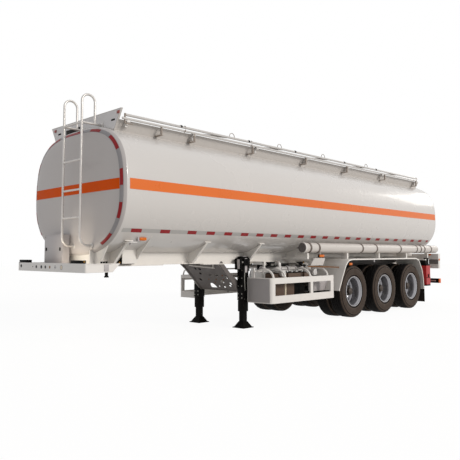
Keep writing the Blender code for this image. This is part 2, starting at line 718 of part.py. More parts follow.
def make_ladder(shell_tool):
    hoop_radius = (LADDER_X - LADDER_LEG_X) / 2
    hoop_centre = ((LADDER_X + LADDER_LEG_X) / 2, LADDER_TOP_Z - hoop_radius)
    bend = LADDER_BEND_Z - LADDER_FOOT_Z
    shapes = []
    for y in LADDER_Y:
        path = [(TANK_FRONT, LADDER_FOOT_Z)]
        path += arc((LADDER_X - bend, LADDER_BEND_Z), bend, -90, 0, 3)
        path += arc(hoop_centre, hoop_radius, 0, 180, 6)
        path.append((LADDER_LEG_X, LADDER_BAR_Z))
        shapes.append(pipe([(x, y, z) for x, z in path], LADDER_TUBE, 10))
        shapes.append(rod((COAMING_FRONT + SEAT + OVERLAP, y, LADDER_BAR_Z),
                          (LADDER_X, y, LADDER_BAR_Z), LADDER_TIE))
        shapes.append(rod((COAMING_FRONT + SEAT, y, LADDER_BAR_Z),
                          (COAMING_FRONT + SEAT + FLANGE_THICKNESS, y, LADDER_BAR_Z),
                          LADDER_FLANGE, 12))
        shapes.append(rod((TANK_FRONT + OVERLAP, y, LADDER_FOOT_Z),
                          (TANK_FRONT + FLANGE_SEAT * HEAD_BULGE + FLANGE_THICKNESS, y, LADDER_FOOT_Z),
                          LADDER_FLANGE, 12))
    for z in LADDER_RUNGS_Z + (LADDER_BAR_Z,):
        shapes.append(rod((LADDER_X, LADDER_Y[0], z), (LADDER_X, LADDER_Y[1], z),
                          LADDER_RUNG))
    place("front_ladder", cut(welded(shapes), [shell_tool]), "stainless", smooth=True)


# Chassis

def make_chassis(shell_tool):
    """Three lengths of chassis, each with its beams, cross-members, outriggers and arms."""
    rear = REAR_X + LIGHT_BEAM_DEPTH + SEAT
    half_gap = SEAT / 2
    spans = (("front", SPLICE_X[0] + half_gap, BEAM_FRONT, NECK_BOTTOM_Z),
             ("middle", SPLICE_X[1] + half_gap, SPLICE_X[0] - half_gap, BEAM_BOTTOM_Z),
             ("rear", rear, SPLICE_X[1] - half_gap, BEAM_BOTTOM_Z))
    for name, low, high, bottom in spans:
        shapes = beams(low, high, bottom)
        shapes += outriggers(low, high, bottom)
        shapes += carrying_arms(low, high)
        place(f"chassis_{name}", cut(welded(shapes), [shell_tool]), "white_paint")


def within(positions, low, high):
    return [x for x in positions if low < x < high]


def beams(low, high, bottom):
    """Both main beams over a length, joined by its cross-members."""
    flange_top = bottom + BEAM_FLANGE
    web_top = tank_height(BEAM_Y, upper=False) + BEAM_OVERLAP
    shapes = []
    for side in (1, -1):
        middle = side * BEAM_Y
        shapes.append(box((low, high), (middle - BEAM_WEB / 2, middle + BEAM_WEB / 2),
                          (bottom + OVERLAP, web_top)))
        shapes.append(box((low, high),
                          (middle - BEAM_FLANGE_HALF, middle + BEAM_FLANGE_HALF),
                          (bottom, flange_top)))
        shapes += [hanger(x, side) for x in within(hanger_positions(), low, high)]
    reach = BEAM_Y - BEAM_WEB / 2 + OVERLAP
    positions = [x for x, _ in OUTRIGGERS] + [SADDLE_X] + list(ARM_X)
    for x in within(positions, low, high):
        shapes.append(box((x - OUTRIGGER_WEB / 2, x + OUTRIGGER_WEB / 2), (-reach, reach),
                          (flange_top - OVERLAP, flange_top + CROSS_HEIGHT)))
        shapes.append(box((x - CROSS_FLANGE / 2, x + CROSS_FLANGE / 2), (-reach, reach),
                          (flange_top - OVERLAP, flange_top + OUTRIGGER_WEB)))
    return shapes


def outriggers(low, high, bottom):
    """The webs that reach out to the shell, and the saddle plates at the front."""
    foot_z = bottom + BEAM_FLANGE - OVERLAP
    shapes = []
    for side in (1, -1):
        for x, reach in OUTRIGGERS:
            if low < x < high:
                shapes += outrigger(x, side, reach, foot_z)
        if low < SADDLE_X < high:
            root = BEAM_Y + BEAM_WEB / 2 - OVERLAP
            top_z = tank_height(SADDLE_REACH, upper=False) + OUTRIGGER_RISE
            web = [(side * root, foot_z), (side * (root + OUTRIGGER_FOOT), foot_z),
                   (side * SADDLE_REACH, top_z - OUTRIGGER_RISE), (side * SADDLE_REACH, top_z),
                   (side * root, top_z)]
            shapes.append(prism(web, 0, SADDLE_X - OUTRIGGER_WEB / 2, SADDLE_X + OUTRIGGER_WEB / 2))
            outer = side * SADDLE_SIDE_Y
            side_top = tank_height(SADDLE_SIDE_Y, upper=False) + OUTRIGGER_RISE
            shapes.append(box((SADDLE_X, SADDLE_SIDE_FRONT), (outer, outer - side * OUTRIGGER_WEB),
                              (SADDLE_SIDE_LOW_Z, side_top)))
    if low < CRADLE_X < high:
        top_z = tank_height(CRADLE_HALF, upper=False) + OUTRIGGER_RISE
        outline = [(-CRADLE_HALF, top_z), (CRADLE_HALF, top_z), (CRADLE_FOOT_HALF, foot_z + OVERLAP),
                   (-CRADLE_FOOT_HALF, foot_z + OVERLAP)]
        shapes.append(prism(outline, 0, CRADLE_X - CRADLE_PLATE / 2, CRADLE_X + CRADLE_PLATE / 2))
    return shapes


def carrying_arms(low, high):
    """Arms that carry the fenders, the hose tube, the side frames and the extinguisher box."""
    shapes = []
    arm_z = (FENDER_TOP_Z + SEAT, FENDER_TOP_Z + SEAT + ARM_HEIGHT)
    bar_z = (BEAM_BOTTOM_Z + OVERLAP, BEAM_BOTTOM_Z + OVERLAP + ARM_HEIGHT)
    half = ARM_HEIGHT / 2
    for side in (1, -1):
        root = side * BEAM_Y
        for x in within(ARM_X + (HOSE_ARM_X if side > 0 else ()), low, high):
            shapes.append(box((x - ARM_WIDTH / 2, x + ARM_WIDTH / 2), (root, side * ARM_END_Y), arm_z))
        near, far = side * (FRAME_BAR_Y - FRAME_BAR_RADIUS), side * (FRAME_BAR_Y + FRAME_BAR_RADIUS)
        for x in within(FRAME_ARM_X, low, high):
            shapes.append(box((x - half, x + half), (root, far), bar_z))
            shapes.append(box((x - half, x + half), (near, far),
                              (FRAME_BAR_Z + FRAME_BAR_RADIUS + SEAT, BEAM_BOTTOM_Z + half)))
    shapes += hose_saddles(low, high)
    if low < EXT_REAR < high:
        span = (EXT_REAR + EXT_ARM_INSET, EXT_FRONT - EXT_ARM_INSET)
        outer = EXT_OUTER_Y - EXT_ARM_END
        shapes.append(box(span, (BEAM_Y, outer), (EXT_ARM_Z + OVERLAP, EXT_ARM_Z + OVERLAP + ARM_HEIGHT)))
        shapes.append(box(span, (EXT_INNER_Y + EXT_ARM_END, outer),
                          (EXT_TOP_Z + SEAT, EXT_ARM_Z + half)))
    return shapes


def outrigger(x, side, reach, foot_z):
    """A three-cornered web with a strip on its slanting edge and a pad on its tip."""
    root = BEAM_Y + BEAM_WEB / 2 - OVERLAP
    foot = root + OUTRIGGER_FOOT
    shell_z = tank_height(reach, upper=False)
    tip_z = shell_z - PAD_THICKNESS - OVERLAP
    strip = OUTRIGGER_WEB
    web = [(side * root, foot_z), (side * foot, foot_z), (side * reach, tip_z),
           (side * reach, tip_z + PAD_THICKNESS / 2), (side * root, tip_z + PAD_THICKNESS / 2)]
    inner = [(side * root, tip_z), (side * (reach - OVERLAP), tip_z), (side * root, shell_z)]
    edge = [(side * (foot - strip), foot_z - OVERLAP / 2), (side * (foot + strip), foot_z - OVERLAP / 2),
            (side * (reach + strip), tip_z + OVERLAP), (side * (reach - strip), tip_z + OVERLAP)]
    pad_y = (side * (reach - PAD_WIDTH), side * (reach + 2 * strip))
    wide = OUTRIGGER_FLANGE / 2
    return [prism(web, 0, x - OUTRIGGER_WEB / 2, x + OUTRIGGER_WEB / 2),
            prism(inner, 0, x - OUTRIGGER_WEB / 2, x + OUTRIGGER_WEB / 2),
            prism(edge, 0, x - wide, x + wide),
            box((x - PAD_LENGTH / 2, x + PAD_LENGTH / 2), pad_y, (tip_z, tip_z + PAD_THICKNESS))]


def hanger_positions():
    spacing = AXLES_X[0] - AXLES_X[1]
    return [AXLES_X[0] + spacing / 2] + [x - spacing / 2 for x in AXLES_X]


def spring_end_z():
    """Top face of a spring's end, where the hanger bears on it."""
    return WHEEL_Z + AXLE_RADIUS + SPRING_SEAT - OVERLAP + SPRING_THICKNESS + SPRING_RISE


def hanger(x, side):
    """A tapered box that bears on the ends of the springs in front of and behind it."""
    bottom = spring_end_z() + SEAT
    outline = [(x - HANGER_LENGTH, BEAM_BOTTOM_Z + OVERLAP), (x + HANGER_LENGTH, BEAM_BOTTOM_Z + OVERLAP),
               (x + HANGER_LENGTH, bottom + 0.10), (x + 0.8 * HANGER_LENGTH, bottom),
               (x - 0.8 * HANGER_LENGTH, bottom), (x - HANGER_LENGTH, bottom + 0.10)]
    middle = side * BEAM_Y
    return prism(outline, 1, middle - HANGER_WIDTH / 2, middle + HANGER_WIDTH / 2)


def hose_saddles(low, high):
    """Posts on the left carrying arms, under the hose tube."""
    span_y = (HOSE_Y - SADDLE_SHARE * HOSE_RADIUS, ARM_END_Y)
    span_z = (FENDER_TOP_Z + SEAT + OVERLAP, HOSE_Z - HOSE_RADIUS - SEAT)
    return [box((x - ARM_WIDTH / 2, x + ARM_WIDTH / 2), span_y, span_z)
            for x in within(ARM_X + HOSE_ARM_X, low, high)]


# Coupler

def make_coupler():
    """Pick-up plate under the front beams, the lower bolster before it, and the kingpin."""
    under = BOLSTER_BOTTOM_Z
    plate_top = NECK_BOTTOM_Z - SEAT
    plate_z = plate_top - COUPLER_PLATE
    inside = BOLSTER_HALF - OVERLAP
    shapes = [box((FRONT_X - BOLSTER_DEPTH, FRONT_X), (-BOLSTER_HALF, BOLSTER_HALF),
                  (under, BOLSTER_TOP_Z)),
              box((COUPLER_WIDE_REAR, FRONT_X - OVERLAP), (-inside, inside),
                  (under + OVERLAP, under + COUPLER_PLATE)),
              box((COUPLER_REAR, COUPLER_FRONT), (-COUPLER_HALF, COUPLER_HALF), (plate_z, plate_top))]
    ramp = [(COUPLER_WIDE_REAR + OVERLAP, under + OVERLAP / 2),
            (COUPLER_WIDE_REAR + 2 * COUPLER_PLATE, under + OVERLAP / 2),
            (COUPLER_FRONT - OVERLAP, plate_top - OVERLAP / 2),
            (COUPLER_FRONT - 2 * COUPLER_PLATE, plate_top - OVERLAP / 2)]
    ramp_half = COUPLER_HALF - OVERLAP
    shapes.append(prism(ramp, 1, -ramp_half, ramp_half))
    for side in (1, -1):
        skirt = [(FRONT_X - OVERLAP, under + OVERLAP), (FRONT_X - OVERLAP, BOLSTER_TOP_Z - OVERLAP),
                 (COUPLER_WIDE_REAR - SKIRT_SLANT, BOLSTER_TOP_Z - OVERLAP),
                 (COUPLER_WIDE_REAR, under + OVERLAP)]
        outer = side * inside
        shapes.append(prism(skirt, 1, outer, outer - side * SKIRT_WALL))
    place("coupler_plate", welded(shapes), "white_paint")

    seat = plate_z - SEAT
    tip = BOLSTER_BOTTOM_Z - KINGPIN_DROP
    shoulder = tip + KINGPIN_LENGTH
    pin = turned(((0.0, seat), (KINGPIN_BOSS_RADIUS, seat), (KINGPIN_BOSS_RADIUS, seat - KINGPIN_FLANGE),
                  (KINGPIN_FLANGE_RADIUS, shoulder), (KINGPIN_RADIUS, shoulder - KINGPIN_FLANGE / 3),
                  (KINGPIN_RADIUS, tip + KINGPIN_FLANGE),
                  (KINGPIN_FLANGE_RADIUS, tip + KINGPIN_FLANGE - OVERLAP),
                  (KINGPIN_FLANGE_RADIUS, tip), (0.0, tip)), (KINGPIN_X, 0.0, 0.0), 2)
    place("kingpin", pin, "black_paint", smooth=True)


def make_cabinet():
    """A flat cabinet on two short legs that stand on the bolster's floor."""
    low_y, high_y = CABINET_Y - CABINET_WIDTH / 2, CABINET_Y + CABINET_WIDTH / 2
    body = box((CABINET_FRONT - CABINET_DEPTH, CABINET_FRONT), (low_y, high_y),
               (CABINET_BOTTOM_Z, CABINET_TOP_Z))
    leg_front = CABINET_FRONT - CABINET_LEG_INSET
    floor_z = BOLSTER_BOTTOM_Z + COUPLER_PLATE + SEAT
    legs = [box((leg_front - CABINET_LEG, leg_front), (y, y + CABINET_LEG),
                (floor_z, CABINET_BOTTOM_Z + OVERLAP))
            for y in (low_y + CABINET_LEG_INSET, high_y - CABINET_LEG_INSET - CABINET_LEG)]
    place("front_cabinet", welded([body] + legs), "grey_paint")


# Landing gear

def make_landing_gear():
    inner_y = BEAM_Y + BEAM_FLANGE_HALF + SEAT
    leg_y = inner_y + LEG_TUBE / 2
    half = LEG_TUBE / 2
    small = LEG_INNER_TUBE / 2
    wide = LEG_FLANGE / 2
    for name, side in (("left", 1), ("right", -1)):
        middle = side * leg_y
        tube = box((LEG_X - half, LEG_X + half), (middle - half, middle + half),
                   (LEG_SPLIT_Z, LEG_TOP_Z))
        collar_y = (side * (inner_y + SEAT), side * (leg_y + wide))
        collar = box((LEG_X - wide, LEG_X + wide), collar_y, (LEG_SPLIT_Z, LEG_SPLIT_Z + LEG_COLLAR))
        slider = box((LEG_X - small, LEG_X + small), (middle - small, middle + small),
                     (FOOT_HEIGHT - OVERLAP, LEG_SPLIT_Z + OVERLAP))
        foot = foot_mesh(LEG_X, middle, small)
        gearbox = box((LEG_X - half + OVERLAP, LEG_X + half + GEARBOX_REACH),
                      (side * (leg_y + half - OVERLAP), side * (leg_y + half + GEARBOX_DEPTH)),
                      GEARBOX_Z)
        place(f"landing_leg_{name}", welded([tube, collar, slider, foot, gearbox]), "black_paint")
    make_brace(inner_y)


def foot_mesh(x, y, top_half):
    """A flared foot on a flat square plate."""
    bm = bmesh.new()
    rings = []
    for half, z in ((LEG_FOOT / 2, 0.0), (LEG_FOOT / 2, FOOT_PLATE),
                    (LEG_FOOT / 2 - FOOT_EDGE, FOOT_PLATE), (top_half + FOOT_COLLAR, FOOT_HEIGHT)):
        corners = ((-half, -half), (half, -half), (half, half), (-half, half))
        rings.append([bm.verts.new((x + dx, y + dy, z)) for dx, dy in corners])
    for before, after in zip(rings, rings[1:]):
        for k in range(4):
            following = (k + 1) % 4
            bm.faces.new((before[k], before[following], after[following], after[k]))
    bm.faces.new(rings[0])
    bm.faces.new(rings[-1])
    return finish(bm)


def make_brace(inner_y):
    """A pierced cross plate between the legs, with a bottom bar and two struts to the beams."""
    end_y = inner_y - SEAT
    plate_x = (LEG_X - BRACE_PLATE / 2, LEG_X + BRACE_PLATE / 2)
    plate = box(plate_x, (-end_y, end_y), (BRACE_BOTTOM_Z, BRACE_TOP_Z))
    # centre y, centre z, half width, half height
    holes = ((-0.27, 0.845, 0.045, 0.018), (-0.12, 0.845, 0.030, 0.030), (0.01, 0.845, 0.030, 0.030),
             (0.17, 0.825, 0.050, 0.018), (0.01, 0.755, 0.055, 0.024), (-0.20, 0.710, 0.085, 0.040),
             (0.10, 0.695, 0.018, 0.018), (0.20, 0.720, 0.018, 0.018), (-0.38, 0.78, 0.030, 0.050),
             (0.35, 0.78, 0.030, 0.050))
    tools = []
    for y, z, wide, high in holes:
        points = [(y + wide * math.cos(a), z + high * math.sin(a))
                  for a in (2 * math.pi * (k + 0.5) / 8 for k in range(8))]
        tools.append(prism(points, 0, LEG_X - 0.05, LEG_X + 0.05))
    plate = cut(plate, tools)
    bar = box((LEG_X - BRACE_BAR / 2, LEG_X + BRACE_BAR / 2), (-end_y, end_y),
              (BRACE_BOTTOM_Z - BRACE_BAR + OVERLAP, BRACE_BOTTOM_Z + OVERLAP))
    rail = box((LEG_X - BRACE_BAR / 2, LEG_X + BRACE_BAR / 2), (-end_y, end_y),
               (BRACE_TOP_Z - OVERLAP, BRACE_TOP_Z + BRACE_BAR - OVERLAP))
    shapes = [plate, bar, rail]
    top_z = BEAM_BOTTOM_Z - SEAT
    for side in (1, -1):
        middle = side * BEAM_Y
        outline = [(STRUT_TOP_X, top_z), (STRUT_TOP_X - STRUT_TOP_LENGTH, top_z),
                   (LEG_X, STRUT_FOOT_Z), (LEG_X, STRUT_FOOT_Z - STRUT_FOOT_DEPTH)]
        shapes.append(prism(outline, 1, middle - STRUT_WIDTH / 2, middle + STRUT_WIDTH / 2))
    place("landing_brace", welded(shapes), "grey_paint")


# Side frames and pipes

def frame_panel(side):
    """The side frame with its two windows and its front plate, which meets the landing leg."""
    outer = side * FRAME_Y
    panel = box((FRAME_REAR, FRAME_FRONT - FRAME_CORNER), (outer, outer - side * FRAME_WALL),
                (FRAME_BOTTOM_Z, FRAME_TOP_Z))
    tools = [box(span, (outer + side * 0.05, outer - side * 2 * FRAME_WALL),
                 (WINDOW_BOTTOM_Z, WINDOW_TOP_Z)) for span in WINDOWS_X]
    leg_outer = BEAM_Y + BEAM_FLANGE_HALF + SEAT + LEG_TUBE / 2 + LEG_FLANGE / 2 + SEAT
    bend = [(FRAME_FRONT - FRAME_CORNER - OVERLAP, outer)]
    bend += [(FRAME_FRONT - FRAME_CORNER * (1.0 - math.sin(turn)),
              outer - side * FRAME_CORNER * (1.0 - math.cos(turn)))
             for turn in (math.pi * step / 8 for step in range(5))]
    outline = bend + [(FRAME_FRONT, side * leg_outer), (FRAME_FRONT - FRONT_PLATE, side * leg_outer),
                      (FRAME_FRONT - FRONT_PLATE, outer - side * FRAME_CORNER)]
    outline += [(FRAME_FRONT - FRAME_CORNER, outer - side * FRAME_WALL),
                (FRAME_FRONT - FRAME_CORNER - OVERLAP, outer - side * FRAME_WALL)]
    corner = prism(outline, 2, FRAME_BOTTOM_Z, FRAME_TOP_Z)
    if side < 0:
        corner = cut(corner, [box((FRAME_FRONT - FRAME_WALL, FRAME_FRONT + FRAME_WALL), *PLATE_WINDOW)])
    return [cut(panel, tools), corner]


def make_side_frames():
    bar = rod((FRAME_REAR, FRAME_BAR_Y, FRAME_BAR_Z), (FRAME_FRONT, FRAME_BAR_Y, FRAME_BAR_Z),
              FRAME_BAR_RADIUS, 8)
    hoops = []
    rail_y = FRAME_Y - FRAME_WALL / 2
    for x in HOOPS_X:
        path = ((x, FRAME_BAR_Y, FRAME_BAR_Z), (x, FRAME_BAR_Y + 0.14, FRAME_BAR_Z + 0.035),
                (x, FRAME_BAR_Y + 0.26, FRAME_BAR_Z + 0.025), (x, rail_y - 0.03, FRAME_TOP_Z + 0.07),
                (x, rail_y, FRAME_TOP_Z - 0.01))
        hoops.append(pipe(path, HOOP_RADIUS, 8))
    shapes = [bar] + hoops + frame_panel(1)
    place("valve_frame_left", welded(shapes), "white_paint")
    mirrored_bar = mirrored(joined([bar]))
    right_hoops = [mirrored(hoop) for hoop in (hoops[0], hoops[-1])]
    place("side_frame_right", welded([mirrored_bar] + right_hoops + frame_panel(-1)),
          "white_paint")


def make_discharge_pipes(shell_tool):
    """A pipe from the shell's bottom under the beam, through its valve, to each outlet."""
    for number, x in enumerate(RISER_X, 1):
        top = tank_height(RISER_Y, upper=False) + RISER_TOP_OVERLAP
        path = [(x, RISER_Y, top), (x, RISER_Y, PIPE_Z + PIPE_BEND), (x, RISER_Y + PIPE_BEND, PIPE_Z)]
        path += [(x, y, z, share) for y, z, share in OUTLET_PATH]
        shapes = [pipe(path, PIPE_RADIUS, 10)]
        place(f"discharge_pipe_{number}", cut(welded(shapes), [shell_tool]), "stainless",
              smooth=True)


# Hose tube

def make_hose_tube():
    """An open-fronted tube with a closed rear end, and its hinged round door."""
    length = HOSE_FRONT - HOSE_REAR
    inner = HOSE_RADIUS - HOSE_WALL
    centre = (HOSE_REAR, HOSE_Y, HOSE_Z)
    tube = turned(((0.0, 0.0), (HOSE_RADIUS, 0.0), (HOSE_RADIUS, length), (inner, length),
                   (inner, 0.02), (0.0, 0.02)), centre, 0)
    door_radius = inner - RUN
    pin_x = HOSE_FRONT + DOOR_HINGE_RADIUS
    pin_y = HOSE_Y - HOSE_RADIUS
    knuckles = []
    for side in (1, -1):
        z = (HOSE_Z + side * (KNUCKLE_HALF + SEAT), HOSE_Z + side * 2 * KNUCKLE_HALF)
        knuckles.append(rod((pin_x, pin_y, z[0]), (pin_x, pin_y, z[1]), DOOR_HINGE_RADIUS, 8))
        knuckles.append(box((HOSE_FRONT - 0.030, pin_x),
                            (pin_y - 0.5 * DOOR_HINGE_RADIUS, pin_y + DOOR_HINGE_RADIUS), z))
    place("hose_tube", welded([tube] + knuckles), "white_paint", smooth=True)

    face = HOSE_FRONT - DOOR_INSET
    disc = rod((face - DOOR_THICKNESS, HOSE_Y, HOSE_Z), (face, HOSE_Y, HOSE_Z), door_radius,
               ROUND_SIDES)
    leaf = box((face - 0.5 * DOOR_THICKNESS, pin_x + 0.5 * DOOR_HINGE_RADIUS),
               (HOSE_Y - 0.8 * door_radius, HOSE_Y - 0.8 * door_radius + 0.006),
               (HOSE_Z - KNUCKLE_HALF, HOSE_Z + KNUCKLE_HALF))
    arm = box((pin_x - 0.5 * DOOR_HINGE_RADIUS, pin_x + 0.5 * DOOR_HINGE_RADIUS),
              (pin_y, HOSE_Y - 0.8 * door_radius + 0.006), (HOSE_Z - KNUCKLE_HALF, HOSE_Z + KNUCKLE_HALF))
    knuckle = rod((pin_x, pin_y, HOSE_Z - KNUCKLE_HALF), (pin_x, pin_y, HOSE_Z + KNUCKLE_HALF),
                  DOOR_HINGE_RADIUS, 8)
    knob = rod((face - OVERLAP, HOSE_Y, HOSE_Z), (face + 0.014, HOSE_Y, HOSE_Z), 0.016, 12)
    place("hose_tube_door", welded([disc, leaf, arm, knuckle, knob]), "black_paint",
          pivot=(pin_x, pin_y, HOSE_Z))


# Running gear

def make_wheels():
    """Twin wheels: two tyres and one turned body of both rims, their disc, hub and drum."""
    bead = BEAD_RADIUS - SEAT
    flank = (TYRE_HALF_WIDTH - BEAD_HALF) / (0.80 * TYRE_RADIUS - BEAD_RADIUS)
    edge = TYRE_OFFSET + BEAD_HALF + flank * (RIM_LIP_RADIUS - BEAD_RADIUS) + SEAT
    lip = edge + RIM_LIP
    rim_profile = (
        (0.0, HUB_END), (HUB_RADIUS, HUB_END), (HUB_RADIUS, DISC_THICKNESS / 2 + 0.03),
        (DISC_RADIUS, DISC_THICKNESS / 2), (RIM_INNER_RADIUS, lip),
        (RIM_LIP_RADIUS, lip), (RIM_LIP_RADIUS, edge), (bead, edge),
        (bead, -edge), (RIM_LIP_RADIUS, -edge), (RIM_LIP_RADIUS, -lip), (RIM_INNER_RADIUS, -lip),
        (DRUM_RADIUS, -DISC_THICKNESS / 2),
        (DRUM_RADIUS, -DRUM_END), (SPINDLE_RADIUS + RUN, -DRUM_END),
        (SPINDLE_RADIUS + RUN, -SPINDLE_END), (0.0, -SPINDLE_END))
    tyre_profile = (
        (BEAD_RADIUS, -BEAD_HALF), (0.80 * TYRE_RADIUS, -TYRE_HALF_WIDTH),
        (0.94 * TYRE_RADIUS, -0.88 * TYRE_HALF_WIDTH), (TYRE_RADIUS, -0.70 * TYRE_HALF_WIDTH),
        (TYRE_RADIUS, 0.70 * TYRE_HALF_WIDTH), (0.94 * TYRE_RADIUS, 0.88 * TYRE_HALF_WIDTH),
        (0.80 * TYRE_RADIUS, TYRE_HALF_WIDTH), (BEAD_RADIUS, BEAD_HALF))
    for number, x in enumerate(AXLES_X, 1):
        for name, side in (("left", 1), ("right", -1)):
            hub = turned([(radius, side * along) for radius, along in rim_profile],
                         (x, side * TWIN_Y, WHEEL_Z), 1)
            pivot = (x, side * TWIN_Y, WHEEL_Z)
            place(f"hub_{number}_{name}", hub, "rim_silver", pivot=pivot, smooth=True)
            for label, offset in (("outer", TYRE_OFFSET), ("inner", -TYRE_OFFSET)):
                centre = (x, side * (TWIN_Y + offset), WHEEL_Z)
                place(f"tyre_{number}_{name}_{label}", turned(tyre_profile, centre, 1), "rubber",
                      pivot=pivot, smooth=True)


def make_axles():
    """Axle beams with brake flanges, spring seats and the leaf springs clamped on them."""
    drum_face = TWIN_Y - DRUM_END
    seat_top = WHEEL_Z + AXLE_RADIUS + SPRING_SEAT
    for number, x in enumerate(AXLES_X, 1):
        end = drum_face - RUN
        clamp_x = (x - CLAMP_HALF, x + CLAMP_HALF)
        shapes = [rod((x, -end, WHEEL_Z), (x, end, WHEEL_Z), AXLE_RADIUS, 10)]
        for side in (1, -1):
            shapes.append(rod((x, side * (end - SPINDLE_LAP), WHEEL_Z),
                              (x, side * (TWIN_Y - SPINDLE_END - SEAT), WHEEL_Z),
                              SPINDLE_RADIUS, 10))
            shapes.append(rod((x, side * (end - BRAKE_PLATE), WHEEL_Z), (x, side * end, WHEEL_Z),
                              BRAKE_SHARE * DRUM_RADIUS, 12))
            middle = side * BEAM_Y
            wide = SPRING_WIDTH / 2 + CLAMP_SIDE
            shapes.append(box(clamp_x, (middle - wide, middle + wide),
                              (WHEEL_Z - AXLE_RADIUS - CLAMP_PLATE, seat_top)))
            shapes.append(leaf_spring(x, middle, seat_top - OVERLAP))
            shapes.append(box(clamp_x, (middle - wide, middle + wide),
                              (seat_top + SPRING_THICKNESS - OVERLAP,
                               seat_top + SPRING_THICKNESS + CLAMP_PLATE)))
        place(f"axle_{number}", welded(shapes), "black_paint")


def leaf_spring(x, y, z):
    """A stack of leaves, thick at the axle and thin at its raised ends."""
    steps = 4
    upper = []
    lower = []
    for k in range(-steps, steps + 1):
        share = k / steps
        rise = SPRING_RISE * share * share
        upper.append((x + share * SPRING_HALF_LENGTH, z + SPRING_THICKNESS + rise))
        thin = SPRING_THICKNESS * (1.0 - SPRING_THIN * abs(share))
        lower.append((x + share * SPRING_HALF_LENGTH, z + SPRING_THICKNESS + rise - thin))
    return prism(upper + lower[::-1], 1, y - SPRING_WIDTH / 2, y + SPRING_WIDTH / 2)


# Fenders, flaps and rear end

def fender_path(offset):
    """The fender's outline seen from the side, moved inward by the offset."""
    flat = [(FENDER_FLAT[0], FENDER_TOP_Z), (FENDER_FLAT[1], FENDER_TOP_Z)]
    points = list(FENDER_FRONT_PATH) + flat + list(FENDER_REAR_PATH)
    result = []
    for k, (x, z) in enumerate(points):
        before = Vector(points[max(k - 1, 0)])
        after = Vector(points[min(k + 1, len(points) - 1)])
        along = (after - before).normalized()
        result.append((x - offset * along.y, z + offset * along.x))
    return result


def fender_strip(depth, y_low, y_high):
    return prism(fender_path(0.0) + fender_path(depth)[::-1], 1, y_low, y_high)


def make_fenders():
    sheet = fender_strip(FENDER_SHEET, FENDER_INNER_Y, HALF_WIDTH - OVERLAP)
    lip = fender_strip(FENDER_LIP, HALF_WIDTH - FENDER_SHEET, HALF_WIDTH)
    fender = welded([sheet, lip])
    place("fender_right", mirrored(fender), "white_paint")
    place("fender_left", fender, "white_paint")
    rear_x, rear_z = FENDER_REAR_PATH[-1]
    for name, side in (("left", 1), ("right", -1)):
        flap = box((rear_x - SEAT - FLAP_THICKNESS, rear_x - SEAT),
                   (side * FLAP_INNER_Y, side * HALF_WIDTH), (FLAP_BOTTOM_Z, rear_z + FLAP_LAP))
        place(f"mud_flap_{name}", flap, "rubber")


def make_extinguisher_box():
    body = box((EXT_REAR, EXT_FRONT), (EXT_INNER_Y, EXT_OUTER_Y),
               (EXT_BOTTOM_Z + EXT_CAP, EXT_TOP_Z - EXT_CAP))
    inset = EXT_CAP_INSET
    caps = [box((EXT_REAR + inset, EXT_FRONT - inset), (EXT_INNER_Y + inset, EXT_OUTER_Y - inset), span)
            for span in ((EXT_BOTTOM_Z, EXT_BOTTOM_Z + EXT_CAP + OVERLAP),
                         (EXT_TOP_Z - EXT_CAP - OVERLAP, EXT_TOP_Z))]
    place("extinguisher_box", welded([body] + caps), "red_plastic")


def make_rear_end():
    """The light beam across the beams' ends, with lamp boxes, and the underrun bar on its arms."""
    front = REAR_X + LIGHT_BEAM_DEPTH
    shapes = [box((REAR_X, front), (-LIGHT_BEAM_HALF, LIGHT_BEAM_HALF),
                  (LIGHT_BEAM_BOTTOM_Z, LIGHT_BEAM_TOP_Z))]
    for side in (1, -1):
        shapes.append(box((REAR_X + LAMP_BOX_INSET, front - LAMP_BOX_INSET),
                          (side * LAMP_BOX_INNER_Y, side * (LIGHT_BEAM_HALF - OVERLAP)),
                          (LAMP_BOX_BOTTOM_Z, LIGHT_BEAM_BOTTOM_Z + OVERLAP)))
    place("rear_light_beam", welded(shapes), "white_paint")

    bar_rear = REAR_X + UNDERRUN_INSET
    bar_front = bar_rear + UNDERRUN_DEPTH
    shapes = [box((bar_rear, bar_front), (-LIGHT_BEAM_HALF, LIGHT_BEAM_HALF),
                  (UNDERRUN_BOTTOM_Z, UNDERRUN_TOP_Z))]
    for side in (1, -1):
        middle = side * BEAM_Y
        outline = [(bar_rear + ARM_FOOT_INSET, UNDERRUN_TOP_Z - OVERLAP),
                   (bar_front - ARM_FOOT_INSET, UNDERRUN_TOP_Z - OVERLAP),
                   (front + ARM_TOP_LENGTH, BEAM_BOTTOM_Z - SEAT), (front + SEAT, BEAM_BOTTOM_Z - SEAT)]
        shapes.append(prism(outline, 1, middle - UNDERRUN_ARM / 2, middle + UNDERRUN_ARM / 2))
    place("rear_underrun_bar", welded(shapes), "black_paint")


def main():
    clear_scene()
    shell_tool = tank_mesh(SEAT)
    make_tank()
    make_coaming(shell_tool)
    make_walkway(shell_tool)
    make_manholes(shell_tool)
    make_handrail()
    make_ladder(shell_tool)
    make_chassis(shell_tool)
    make_coupler()
    make_cabinet()
    make_landing_gear()
    make_side_frames()
    make_discharge_pipes(shell_tool)
    make_hose_tube()
    make_wheels()
    make_axles()
    make_fenders()
    make_extinguisher_box()
    make_rear_end()


main()
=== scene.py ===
"""Looks of the tanker trailer: finishes, finer shell, wheels and tubes, small fittings, view."""
import math

import bmesh
import bpy
from mathutils import Matrix, Vector


